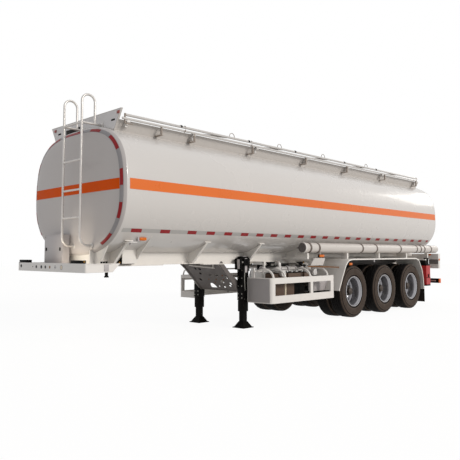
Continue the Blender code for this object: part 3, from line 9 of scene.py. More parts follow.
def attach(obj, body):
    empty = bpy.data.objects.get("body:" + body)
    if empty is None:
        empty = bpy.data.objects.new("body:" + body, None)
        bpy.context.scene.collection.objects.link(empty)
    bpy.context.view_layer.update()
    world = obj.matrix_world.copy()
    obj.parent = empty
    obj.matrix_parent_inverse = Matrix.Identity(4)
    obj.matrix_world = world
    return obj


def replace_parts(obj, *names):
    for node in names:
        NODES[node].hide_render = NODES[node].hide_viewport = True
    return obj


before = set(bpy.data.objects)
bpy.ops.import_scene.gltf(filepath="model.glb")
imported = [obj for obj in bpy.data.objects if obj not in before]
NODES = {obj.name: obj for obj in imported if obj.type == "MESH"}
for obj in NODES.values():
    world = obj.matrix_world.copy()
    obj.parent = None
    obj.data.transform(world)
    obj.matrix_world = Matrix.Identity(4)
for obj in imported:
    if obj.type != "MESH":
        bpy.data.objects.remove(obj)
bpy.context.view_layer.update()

ROOT = "trailer"
AXIS = {"x": 0, "y": 1, "z": 2}


# Node helpers

def node(tree, kind, inputs=None, **settings):
    """Add a shader node, set its settings, and set or link its inputs."""
    made = tree.nodes.new("ShaderNode" + kind)
    for name, value in settings.items():
        setattr(made, name, value)
    for key, value in (inputs or {}).items():
        if isinstance(value, bpy.types.NodeSocket):
            tree.links.new(value, made.inputs[key])
        else:
            made.inputs[key].default_value = value
    return made


def noise(tree, where, scale, detail, roughness=0.5):
    return node(tree, "TexNoise", {"Vector": where, "Scale": scale, "Detail": detail,
                                   "Roughness": roughness}).outputs["Fac"]


def mapped(tree, value, low, high, start=0.0, end=1.0):
    """A value that runs from start to end, mapped to run from low to high."""
    return node(tree, "MapRange", {"Value": value, "From Min": start, "From Max": end,
                                   "To Min": low, "To Max": high}).outputs[0]


def blend_colour(tree, factor, first, second):
    return node(tree, "Mix", {0: factor, 6: first, 7: second}, data_type="RGBA").outputs[2]


def srgb(red, green, blue):
    """A colour written 0 to 255 as linear values."""
    def linear(value):
        value /= 255.0
        return value / 12.92 if value <= 0.04045 else ((value + 0.055) / 1.055) ** 2.4
    return tuple(linear(value) for value in (red, green, blue))


def scaled(colour, share):
    return tuple(min(1.0, value * share) for value in colour) + (1.0,)


# Finishes

DUST = scaled(srgb(128, 108, 88), 1.0)
COAT_ROUGHNESS, GRAIN_DEPTH, WAVE_DEPTH = 0.06, 0.002, 0.05


def finish(name, colour, rough, metal=0.0, spread=0.06, size=3.0, grain=120.0, bump=0.03,
           dust=0.0, dust_top=1.2, coat=0.0, wave=0.0, brushed=None, emission=0.0, shine=0.5):
    """A procedural finish: mottled tone, uneven gloss, fine grain, and road dust that fades upward."""
    made = bpy.data.materials.new(name)
    made.use_nodes = True
    made.use_backface_culling = False
    tree = made.node_tree
    shader = tree.nodes["Principled BSDF"]
    for key, value in (("Metallic", metal), ("Coat Weight", coat), ("Coat Roughness", COAT_ROUGHNESS),
                       ("Specular IOR Level", shine)):
        shader.inputs[key].default_value = value
    where = node(tree, "TexCoord").outputs["Object"]
    stretched = where
    if brushed is not None:
        stretched = node(tree, "Mapping", {"Vector": where, "Scale": brushed}).outputs[0]
    broad, fine = noise(tree, where, size, 4.0, 0.6), noise(tree, stretched, grain, 2.0)
    tone = blend_colour(tree, broad, scaled(colour, 1.0 - spread), scaled(colour, 1.0 + spread))
    tone = blend_colour(tree, mapped(tree, fine, 0.0, 2.0 * spread), tone, scaled(colour, 0.7))
    gloss = mapped(tree, broad, max(0.02, rough * 0.85), min(1.0, rough * 1.2), 0.3, 0.7)
    if dust > 0.0:
        height = node(tree, "SeparateXYZ", {"Vector": where}).outputs["Z"]
        low, spots = mapped(tree, height, dust, 0.0, 0.0, dust_top), noise(tree, where, 9.0, 6.0, 0.7)
        amount = node(tree, "Math", {0: low, 1: spots}, operation="MULTIPLY").outputs[0]
        tone = blend_colour(tree, amount, tone, DUST)
        gloss = node(tree, "Math", {0: gloss, 1: amount}, operation="ADD", use_clamp=True).outputs[0]
    lift = node(tree, "Bump", {"Height": fine, "Strength": bump, "Distance": GRAIN_DEPTH}).outputs[0]
    if wave > 0.0:
        lift = node(tree, "Bump", {"Height": noise(tree, where, 1.1, 1.0), "Strength": wave,
                                   "Distance": WAVE_DEPTH, "Normal": lift}).outputs[0]
    for key, value in (("Base Color", tone), ("Roughness", gloss), ("Normal", lift)):
        tree.links.new(value, shader.inputs[key])
    if emission > 0.0:
        shader.inputs["Emission Color"].default_value = scaled(colour, 1.0)
        shader.inputs["Emission Strength"].default_value = emission
    return made


# Key, name, colour, roughness and what differs from the defaults
LOOKS = (
    ("tank", "tank_paint", (206, 202, 198), 0.26,
     dict(spread=0.018, size=0.7, grain=260.0, bump=0.02, coat=0.35, wave=0.05, dust=0.1,
          dust_top=2.2)),
    # Head paint: the shell paint made darker, as painted shade on the heads.
    ("head", "head_paint_painted_shade", (190, 184, 181), 0.34,
     dict(spread=0.02, size=0.9, grain=260.0, bump=0.02, coat=0.1, wave=0.06, dust=0.1, dust_top=2.4,
          shine=0.3)),
    ("white", "white_enamel", (230, 226, 221), 0.36,
     dict(spread=0.03, size=4.0, grain=200.0, bump=0.03, coat=0.15, dust=0.25, dust_top=1.4)),
    ("grey", "grey_enamel", (180, 175, 175), 0.42,
     dict(spread=0.05, size=5.0, bump=0.03, dust=0.2, shine=0.35)),
    ("coaming", "coaming_enamel", (198, 193, 188), 0.4,
     dict(spread=0.03, size=4.0, grain=200.0, bump=0.03, dust=0.2, dust_top=1.4, shine=0.35)),
    ("beam", "beam_enamel", (232, 228, 222), 0.4,
     dict(spread=0.03, size=4.0, grain=200.0, bump=0.03, dust=0.15, dust_top=1.4, shine=0.35)),
    ("tube", "hose_tube_enamel", (204, 198, 192), 0.3,
     dict(spread=0.03, size=4.0, grain=200.0, bump=0.006, dust=0.15, dust_top=1.5, shine=0.3)),
    ("band", "tube_bands", (96, 84, 76), 0.4, dict(metal=0.4, spread=0.12, size=12.0, bump=0.06)),
    # Frame grey: a grey for small plates; on the valve frame's front plate it is painted shade over the
    # white frame.
    ("frame", "grey_plate_and_painted_shade", (168, 164, 164), 0.5,
     dict(spread=0.05, size=5.0, bump=0.04, dust=0.2, shine=0.3)),
    ("umber", "dark_brackets", (92, 74, 62), 0.55, dict(spread=0.15, size=12.0, bump=0.08, shine=0.25)),
    ("mid", "brace_grey", (106, 101, 99), 0.5,
     dict(spread=0.08, size=7.0, bump=0.05, dust=0.25, shine=0.25)),
    # Inner grey: painted shade, on dark sheets put under and behind things where there is shade.
    ("inner", "inner_grey_painted_shade", (112, 108, 106), 0.6,
     dict(spread=0.12, size=7.0, bump=0.05, dust=0.5, shine=0.25)),
    ("black", "black_enamel", (10, 10, 10), 0.5,
     dict(spread=0.15, size=8.0, bump=0.06, dust=0.02, shine=0.05)),
    ("cast", "black_castings", (22, 21, 20), 0.6,
     dict(spread=0.2, size=20.0, grain=60.0, bump=0.25, dust=0.06, shine=0.1)),
    ("rubber", "tyre_rubber", (61, 50, 42), 0.72,
     dict(spread=0.14, size=9.0, grain=180.0, bump=0.1, shine=0.22)),
    # Tread: near-black rubber for the tread, also laid on two sidewall bands as painted shade.
    ("tread", "tyre_tread_and_painted_shade", (22, 20, 19), 0.85,
     dict(spread=0.2, size=14.0, grain=90.0, bump=0.35, shine=0.15)),
    ("flap", "flap_rubber", (20, 19, 19), 0.7,
     dict(spread=0.12, size=7.0, bump=0.12, dust=0.16, shine=0.15)),
    ("steel", "polished_tube", (200, 196, 192), 0.3,
     dict(metal=0.4, spread=0.05, size=9.0, grain=500.0, bump=0.006, shine=0.4)),
    # Front orange: the side stripe's orange made darker and deeper, as painted shade on the head.
    ("orange_head", "orange_band_front_painted_shade", (222, 84, 6), 0.45,
     dict(spread=0.04, size=1.5, grain=300.0, bump=0.01, shine=0.05)),
    ("clip", "rail_clips", (158, 146, 136), 0.5, dict(spread=0.12, size=12.0, bump=0.06, shine=0.25)),
    ("satin", "satin_steel", (190, 188, 186), 0.34,
     dict(metal=1.0, spread=0.08, size=8.0, grain=300.0, bump=0.05, brushed=(1.0, 30.0, 30.0))),
    ("rim", "rim_silver", (158, 157, 160), 0.3,
     dict(metal=0.75, spread=0.05, size=10.0, grain=160.0, bump=0.006, shine=0.3)),
    ("hub", "hub_cap", (70, 62, 56), 0.5, dict(metal=0.3, spread=0.2, size=18.0, bump=0.1, shine=0.25)),
    # Tyre rings: a lighter rubber laid on the sidewall ridge tops as painted highlights.
    ("ring", "tyre_ring_painted_highlights", (92, 78, 67), 0.7,
     dict(spread=0.12, size=9.0, grain=180.0, bump=0.08, shine=0.22)),
    ("lip", "rim_lip", (206, 206, 210), 0.3,
     dict(metal=0.3, spread=0.05, size=10.0, bump=0.01, shine=0.4)),
    # Splash: a lighter copy of the coaming paint, as painted light on the splash plate's shaded front
    # face.
    ("splash", "splash_painted_light", (222, 219, 218), 0.42,
     dict(spread=0.03, size=4.0, bump=0.02, dust=0.1, shine=0.3)),
    ("zinc", "zinc_bolts", (150, 148, 142), 0.4, dict(metal=0.9, spread=0.15, size=30.0, bump=0.06)),
    ("brass", "brass_fitting", (150, 112, 58), 0.35, dict(metal=0.9, spread=0.15, size=30.0)),
    ("orange", "orange_band", (226, 112, 40), 0.3,
     dict(spread=0.03, size=1.5, grain=300.0, bump=0.01, coat=0.12, shine=0.25)),
    ("red_tape", "red_tape", (150, 20, 26), 0.35,
     dict(spread=0.1, size=24.0, grain=700.0, bump=0.1, shine=0.22)),
    ("grey_tape", "silver_tape", (180, 178, 175), 0.35,
     dict(spread=0.06, size=24.0, grain=700.0, bump=0.1, shine=0.3)),
    # Head ring tape: the side tape's grey made darker, as painted shade on the head.
    ("tape_painted_shade", "head_tape", (150, 147, 148), 0.35,
     dict(spread=0.06, size=24.0, grain=700.0, bump=0.1, shine=0.25)),
    ("amber", "amber_lens", (206, 104, 18), 0.3,
     dict(spread=0.08, size=60.0, grain=300.0, bump=0.12, coat=0.1, shine=0.2, emission=0.06)),
    ("red_lens", "red_lens", (150, 50, 36), 0.25,
     dict(spread=0.08, size=60.0, bump=0.1, coat=0.3, shine=0.3)),
    ("red_box", "red_plastic", (172, 18, 22), 0.38,
     dict(spread=0.06, size=12.0, bump=0.06, coat=0.1, shine=0.3)),
    ("orange_plastic", "orange_marker", (220, 100, 34), 0.35, dict(spread=0.06, size=12.0, shine=0.3)),
    ("pink", "pale_marker", (190, 150, 142), 0.4, dict(spread=0.06, size=12.0, shine=0.3)),
    ("cream", "cream_plate", (226, 212, 188), 0.45,
     dict(spread=0.04, size=6.0, bump=0.04, dust=0.15, shine=0.3)),
    ("rust", "rusty_steel", (132, 88, 50), 0.75,
     dict(spread=0.3, size=30.0, grain=90.0, bump=0.2, shine=0.2)),
    ("hose", "black_hose", (20, 20, 21), 0.5,
     dict(spread=0.12, size=30.0, grain=300.0, bump=0.1, shine=0.25)),
)
F = {key: finish(name, srgb(*colour), rough, **more)
     for key, name, colour, rough, more in LOOKS}


# Shape helpers

BLOCK_FACES = ((0, 1, 2, 3), (4, 5, 6, 7), (0, 1, 5, 4), (1, 2, 6, 5), (2, 3, 7, 6), (3, 0, 4, 7))
END_SHARE, BEND_STEPS = 0.02, 5


def about(middle, half):
    """A range about its middle."""
    return middle - half, middle + half


def around(count, radius=1.0, first=0.0):
    """(cos, sin) offsets of points spread evenly round a circle. First shifts them by steps."""
    turns = [2 * math.pi * (k + first) / count for k in range(count)]
    return [(radius * math.cos(turn), radius * math.sin(turn)) for turn in turns]


def others(axis):
    """The numbers of the other two axes."""
    return [n for n in range(3) if n != AXIS[axis]]


def on_circle(centre, axis, radius, degrees, along=0.0):
    """A point round an axis through the centre, moved along the axis."""
    first, second = others(axis)
    point = list(centre)
    point[AXIS[axis]] += along
    point[first] += radius * math.cos(math.radians(degrees))
    point[second] += radius * math.sin(math.radians(degrees))
    return point


class Piece:
    """Gathers shapes with their finishes, and becomes one object that rides on a body."""

    def __init__(self, name, body=ROOT, slot=None):
        self.name, self.body, self.slot = name, body, slot
        self.bm = bmesh.new()
        self.finishes = []

    def mark(self, faces, finish_name, smooth=True):
        if finish_name not in self.finishes:
            self.finishes.append(finish_name)
        for face in faces:
            face.material_index = self.finishes.index(finish_name)
            face.smooth = smooth

    def faces(self, points, loops, finish_name, smooth=False):
        verts = [self.bm.verts.new(point) for point in points]
        made = [self.bm.faces.new([verts[k] for k in loop]) for loop in loops]
        self.mark(made, finish_name, smooth)

    def box(self, x, y, z, finish_name, bevel=0.0):
        """A block between pairs of coordinates, with softened edges."""
        low = Vector((min(x), min(y), min(z)))
        high = Vector((max(x), max(y), max(z)))
        middle = (low + high) / 2
        made = bmesh.ops.create_cube(self.bm, size=1.0)["verts"]
        for vert in made:
            for k in range(3):
                vert.co[k] = (low[k] if vert.co[k] < 0 else high[k]) - middle[k]
        faces = list({face for vert in made for face in vert.link_faces})
        if bevel > 0.0:
            edges = list({edge for vert in made for edge in vert.link_edges})
            result = bmesh.ops.bevel(self.bm, geom=edges + made, offset=bevel, segments=2,
                                     affect="EDGES", profile=0.5)
            faces = list({face for vert in result["verts"] for face in vert.link_faces})
            made = list({vert for face in faces for vert in face.verts})
        bmesh.ops.transform(self.bm, matrix=Matrix.Translation(middle), verts=made)
        self.mark(faces, finish_name, bevel > 0.0)

    def boxes(self, *rows, side=1):
        """Blocks from rows: x, y and z from and to, a finish and a bevel. The side mirrors y."""
        for x0, x1, y0, y1, z0, z1, finish_name, bevel in rows:
            self.box((x0, x1), (side * y0, side * y1), (z0, z1), finish_name, bevel)

    def grid(self, rows, finish_name, closed=False):
        """Quads between rows of points. A closed grid joins the last column to the first."""
        verts = [[self.bm.verts.new(point) for point in row] for row in rows]
        made = []
        for before, after in zip(verts, verts[1:]):
            count = len(before)
            for k in range(count if closed else count - 1):
                n = (k + 1) % count
                made.append(self.bm.faces.new((before[k], before[n], after[n], after[k])))
        self.mark(made, finish_name)

    def lathe(self, profile, centre, axis, finish_name, sides=48):
        """Turn (radius, along) pairs about an axis. A radius of zero closes the shape."""
        self.grid([[on_circle(centre, axis, max(radius, 0.0002), 360.0 * k / sides, along)
                    for k in range(sides)] for radius, along in profile], finish_name, closed=True)

    def rod(self, start, end, radius, finish_name, sides, end_radius=None, chamfer=0.0):
        """A round bar with flat or chamfered ends."""
        start, end = Vector(start), Vector(end)
        run = end - start
        length = run.length
        last = radius if end_radius is None else end_radius
        turn = Matrix.Translation(start) @ run.to_track_quat("Z", "Y").to_matrix().to_4x4()
        profile = [(0.0, 0.0), (radius - chamfer, 0.0), (radius, chamfer), (last, length - chamfer),
                   (last - chamfer, length), (0.0, length)]
        if chamfer == 0.0:
            profile = [profile[0], profile[1], profile[3], profile[5]]
        rows = [[turn @ Vector((c, s, h)) for c, s in around(sides, max(r, 0.0001))]
                for r, h in profile]
        self.grid(rows, finish_name, closed=True)

    def tube(self, points, radius, finish_name, sides):
        """A round tube through the points, with a steady frame along it."""
        points = [Vector(point) for point in points]
        last = len(points) - 1
        side = None
        rows = []
        for k, point in enumerate(points):
            along = (points[min(k + 1, last)] - points[max(k - 1, 0)]).normalized()
            if side is None:
                side = along.orthogonal().normalized()
            side = (side - along * side.dot(along)).normalized()
            other = along.cross(side)
            rows.append([point + radius * (side * c + other * s) for c, s in around(sides)])
        ends = [[point + (p - point) * END_SHARE for p in row]
                for point, row in ((points[0], rows[0]), (points[-1], rows[-1]))]
        self.grid(ends[:1] + rows + ends[1:], finish_name, closed=True)

    def plate(self, outline, axis, start, end, finish_name):
        """A flat outline pushed along an axis. The pairs are the other two axes in order."""
        first, second = others(axis)
        rings = []
        for level in (start, end):
            ring = []
            for pair in outline:
                point = [0.0, 0.0, 0.0]
                point[AXIS[axis]], point[first], point[second] = level, pair[0], pair[1]
                ring.append(self.bm.verts.new(point))
            rings.append(ring)
        count = len(outline)
        made = [self.bm.faces.new(rings[0]), self.bm.faces.new(rings[1])]
        for n in range(count):
            m = (n + 1) % count
            made.append(self.bm.faces.new((rings[0][n], rings[0][m], rings[1][m], rings[1][n])))
        self.mark(made, finish_name, False)

    def bolt(self, at, axis, radius, height):
        """A hexagon head on a round washer, standing on a face. The sign of height is its side."""
        direction = Vector((0.0, 0.0, 0.0))
        direction[AXIS[axis]] = math.copysign(1.0, height)
        base = Vector(at)
        self.rod(base, base + direction * 0.25 * abs(height), 1.35 * radius, "zinc", 12)
        self.rod(base, base + direction * abs(height), radius, "zinc", 6, end_radius=0.92 * radius)

    def mesh(self, angle=38.0):
        """Make the mesh. Edges sharper than the angle stay sharp."""
        bmesh.ops.recalc_face_normals(self.bm, faces=self.bm.faces)
        made = bpy.data.meshes.new(self.name)
        self.bm.to_mesh(made)
        self.bm.free()
        for name in self.finishes:
            made.materials.append(F[name])
        made.set_sharp_from_angle(angle=math.radians(angle))
        return made

    def done(self, angle=38.0):
        """Make the object, and put it on its body."""
        made = bpy.data.objects.new(self.name, self.mesh(angle))
        bpy.context.scene.collection.objects.link(made)
        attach(made, self.body)
        return made


def curved(points, steps):
    """Points of a smooth curve through the given points."""
    points = [Vector(point) for point in points]
    padded = [2 * points[0] - points[1]] + points + [2 * points[-1] - points[-2]]
    result = []
    for k in range(1, len(padded) - 2):
        a, b, c, d = padded[k - 1:k + 3]
        for step in range(steps):
            t = step / steps
            result.append(0.5 * ((2 * b) + (c - a) * t + (2 * a - 5 * b + 4 * c - d) * t * t
                                 + (3 * b - a - 3 * c + d) * t ** 3))
    result.append(points[-1])
    return result


def bent(points, radius):
    """The points with each inner corner rounded by an arc of about the radius."""
    points = [Vector(point) for point in points]
    result = [points[0]]
    for before, corner, after in zip(points, points[1:], points[2:]):
        back, ahead = before - corner, after - corner
        reach = min(radius, back.length * 0.45, ahead.length * 0.45)
        start = corner + back.normalized() * reach
        end = corner + ahead.normalized() * reach
        for step in range(BEND_STEPS + 1):
            t = step / BEND_STEPS
            result.append(start * (1 - t) ** 2 + corner * 2 * t * (1 - t) + end * t * t)
    result.append(points[-1])
    return result


# Tank

TANK_FRONT, TANK_REAR, ZC = 4.858, -4.951, 2.158
TANK_HALF, TANK_UP, TANK_DOWN = 1.246, 1.0, 0.865
UP_POWER, DOWN_POWER = 2.93, 2.39
HEAD_BULGE = 0.082
HEAD_PROFILE = ((1.0, 0.0), (0.988, 0.2), (0.968, 0.44), (0.93, 0.66), (0.84, 0.81), (0.55, 0.93),
                (0.02, 1.0))
HEAD_ROWS = [(point.x, point.y) for point in
             curved([(scale, share * HEAD_BULGE, 0.0) for scale, share in HEAD_PROFILE], 5)]
SEAMS_X = (3.097, 1.9, 0.297, -1.259, -2.994)
STRIPE_Z = (2.186, 2.334)
STRIP_STEPS, TANK_SIDES = 3, 192
TAPES_X = (4.573, 4.059, 3.531, 3.133, 2.736, 2.337, 1.946, 1.556, 1.155, 0.752, 0.348, -0.06,
           -0.483, -0.904, -1.325, -1.749, -2.175, -2.61, -3.042, -3.484, -3.92, -4.354)
LAST_TAPE_X = -4.765
HEAD_REDS = ((78.0, 65.0), (48.9, 28.9), (10.7, 1.4), (-7.7, -22.2), (-39.8, -56.4), (97.0, 86.0),
             (112.0, 104.0), (126.0, 113.5), (161.2, 147.8), (179.8, 171.0), (202.0, 189.0),
             (218.0, 213.0))


def half(upper):
    """Exponent and height of the section's upper or lower half."""
    return (UP_POWER, TANK_UP) if upper else (DOWN_POWER, TANK_DOWN)


def section(turn, scale, lift):
    """(y, z) of the shell at an angle in degrees, moved out by lift."""
    c, s = math.cos(math.radians(turn)), math.sin(math.radians(turn))
    power, reach = half(s >= 0.0)
    y = TANK_HALF * scale * math.copysign(abs(c) ** (2.0 / power), c)
    z = reach * scale * math.copysign(abs(s) ** (2.0 / power), s)
    if lift:
        grad = Vector((math.copysign(abs(y / (TANK_HALF * scale)) ** (power - 1), y) / TANK_HALF,
                       math.copysign(abs(z / (reach * scale)) ** (power - 1), z) / reach))
        grad.normalize()
        y += lift * grad.x
        z += lift * grad.y
    return y, ZC + z


def turn_at(z, side):
    """Angle in degrees at which the shell's side has the height z."""
    power, reach = half(z >= ZC)
    angle = math.degrees(math.asin(min(1.0, abs(z - ZC) / reach) ** (power / 2)))
    angle = angle if z >= ZC else -angle
    return angle if side > 0 else 180.0 - angle


def head_x(scale):
    """Place of the front head where its section has the scale."""
    for (a, xa), (b, xb) in zip(HEAD_ROWS, HEAD_ROWS[1:]):
        if b <= scale <= a:
            return TANK_FRONT + xa + (xb - xa) * (a - scale) / max(a - b, 1e-9)
    return TANK_FRONT + HEAD_BULGE


def scale_at(y, z):
    """Scale of the section whose outline passes through a point."""
    power, reach = half(z >= ZC)
    return (abs(y / TANK_HALF) ** power + abs((z - ZC) / reach) ** power) ** (1 / power)


def make_tank():
    piece = Piece("tank_shell_fine", slot="white_paint")
    lip = ((0.0, 0.0), (0.006, 0.0022), (0.022, 0.0022), (0.03, 0.0), (0.045, 0.0))
    seam = ((0.022, 0.0), (0.01, 0.0), (0.004, 0.0012), (-0.004, 0.0012), (-0.01, 0.0),
            (-0.022, 0.0))
    body = [(TANK_FRONT - step, lift) for step, lift in lip]
    body += [(x + step, lift) for x in SEAMS_X for step, lift in seam]
    body += [(TANK_REAR + step, lift) for step, lift in reversed(lip)]
    turns = [360.0 * (k + 0.5) / TANK_SIDES for k in range(TANK_SIDES)]

    def ring(x, scale, lift=0.0):
        return [(x, *section(turn, scale, lift)) for turn in turns]
    piece.grid([ring(x, 1.0, lift) for x, lift in body], "tank", closed=True)
    heads = [[ring(edge + way * past, scale) for scale, past in HEAD_ROWS]
             for edge, way in ((TANK_FRONT, 1), (TANK_REAR, -1))]
    # Both heads take the darker head paint: painted shade.
    for rows in heads:
        piece.grid(rows, "head", closed=True)
    for rows in heads:
        piece.faces(rows[-1], [list(range(TANK_SIDES))], "head", smooth=True)
    bmesh.ops.remove_doubles(piece.bm, verts=piece.bm.verts, dist=0.0001)
    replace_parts(piece.done(50.0), "tank_shell")


def side_strip(piece, x_from, x_to, z_low, z_high, lift, finish_name, side, slant=0.0):
    """A strip that lies on the shell's side."""
    rows = []
    for k in range(STRIP_STEPS + 1):
        turn = turn_at(z_low + (z_high - z_low) * k / STRIP_STEPS, side)
        lean = slant * k / STRIP_STEPS
        rows.append([(x + lean, *section(turn, 1.0, lift)) for x in (x_from, x_to)])
    piece.grid(rows, finish_name)


def make_bands():
    stripe = Piece("orange_stripes")
    low, high = STRIPE_Z
    for side in (1, -1):
        marks = [4.812] + [x for seam in SEAMS_X for x in (seam + 0.012, seam - 0.012)] + [-4.925]
        for start, end in zip(marks[::2], marks[1::2]):
            side_strip(stripe, start, end, low, high, 0.0015, "orange", side)
        for start, end in zip(marks[1::2], marks[2::2]):
            side_strip(stripe, start, end, low, high, 0.0024, "orange", side)
    # The stripe across the front head takes the darker front orange: painted shade.
    rows = []
    for k in range(STRIP_STEPS + 1):
        z = low + (high - low) * k / STRIP_STEPS
        ys = [-1.165 + 2.33 * n / 60 for n in range(61)]
        rows.append([(head_x(scale_at(y, z)) + 0.0015, y, z) for y in ys])
    stripe.grid(rows, "orange_head")
    stripe.done()

    tape = Piece("side_tape")
    for side in (1, -1):
        side_strip(tape, 4.811, -4.87, 1.612, 1.664, 0.0012, "grey_tape", side)
        for x, reach in [(x, 0.09) for x in TAPES_X] + [(LAST_TAPE_X, 0.057)]:
            side_strip(tape, x + reach - 0.008, x - reach - 0.008, 1.613, 1.663, 0.0022, "red_tape",
                       side, 0.016)
    tape.done()

    ring = Piece("head_tape")

    def arc(start, end, inner, outer, lift, finish_name):
        steps = max(2, int(abs(end - start) / 2.0))
        rows = []
        for k in range(STRIP_STEPS + 1):
            scale = inner + (outer - inner) * k / STRIP_STEPS
            rows.append([(head_x(scale) + lift, *section(start + (end - start) * n / steps, scale, lift))
                         for n in range(steps + 1)])
        ring.grid(rows, finish_name)
    # The ring's grey tape is the darker copy of the side tape: painted shade.
    arc(-57.0, 218.0, 0.925, 0.972, 0.0012, "tape_painted_shade")
    for start, end in HEAD_REDS:
        arc(start, end, 0.929, 0.968, 0.0022, "red_tape")
    copy = bmesh.ops.duplicate(ring.bm, geom=ring.bm.verts[:] + ring.bm.edges[:] + ring.bm.faces[:])
    for vert in copy["geom"]:
        if isinstance(vert, bmesh.types.BMVert):
            vert.co.x = TANK_FRONT + TANK_REAR - vert.co.x
            vert.co.y = -vert.co.y
    ring.done()


make_tank()
make_bands()


# Wheels

AXLES_X = (-0.88, -2.19, -3.5)
WHEEL_Z, TWIN_Y, TYRE_OFFSET = 0.535, 0.92, 0.17
GROOVES_Y = (0.074, 0.025, -0.025, -0.074)
GROOVE_DEPTH, ZIGZAG, NOTCH, TYRE_SIDES = 0.012, 0.0022, 0.006, 120
# Sidewall radii whose faces are painted lighter as highlights on the ridges, and darker as shade.
HIGHLIGHT_RADII, SHADE_RADII = (0.347, 0.351, 0.464, 0.505), (0.322, 0.47)
NUTS_RADIUS, HOLES_RADIUS, CAP_BOLTS_RADIUS = 0.1675, 0.213, 0.084


def tyre_mesh():
    """One tyre about its own middle, with the axle along y."""
    half = [(0.3005, 0.09), (0.3005, 0.1135), (0.306, 0.1148), (0.316, 0.1195), (0.319, 0.1195),
            (0.322, 0.1225), (0.345, 0.1335), (0.347, 0.135), (0.351, 0.135), (0.353, 0.1365),
            (0.385, 0.1455), (0.415, 0.1478), (0.44, 0.147), (0.462, 0.1435), (0.464, 0.145),
            (0.47, 0.1435), (0.49, 0.1375), (0.505, 0.133), (0.507, 0.13), (0.519, 0.1235),
            (0.527, 0.116), (0.5305, 0.106)]
    rows = [(radius, y, 0.0) for radius, y in half]
    for middle in GROOVES_Y:
        for step, depth in ((0.0055, 0.0), (0.0035, GROOVE_DEPTH), (-0.0035, GROOVE_DEPTH),
                            (-0.0055, 0.0)):
            y = middle + step
            rows.append((WHEEL_Z - 3.3 * y * y / 8 - depth, y, ZIGZAG))
    rows += [(radius, -y, 0.0) for radius, y in reversed(half)]
    piece = Piece("tyre_fine")
    piece.finishes = ["rubber", "tread", "ring"]
    rings = []
    for radius, y, zigzag in rows:
        ring = []
        for k in range(TYRE_SIDES):
            turn = 2 * math.pi * k / TYRE_SIDES
            shift = zigzag * (1, 0, -1, 0)[k % 4]
            on_shoulder = 0.116 <= abs(y) <= 0.1345 and radius > 0.5 and k % 4 < 1
            reach = radius - (NOTCH if on_shoulder else 0.0)
            ring.append(piece.bm.verts.new((reach * math.sin(turn), y + shift,
                                            reach * math.cos(turn))))
        rings.append(ring)
    for k, (before, after) in enumerate(zip(rings, rings[1:])):
        radius = rows[k][0]
        in_tread = abs(rows[k][1]) < 0.12 and radius > 0.5 and abs(rows[k + 1][1]) < 0.12
        # Two sidewall bands take the tread rubber as painted shade, and the ridge tops take the ring
        # rubber as painted highlights.
        index = 1 if in_tread or radius in SHADE_RADII else 2 if radius in HIGHLIGHT_RADII else 0
        for n in range(TYRE_SIDES):
            m = (n + 1) % TYRE_SIDES
            face = piece.bm.faces.new((before[n], before[m], after[m], after[n]))
            face.material_index = index
            face.smooth = True
    return piece.mesh(40.0)


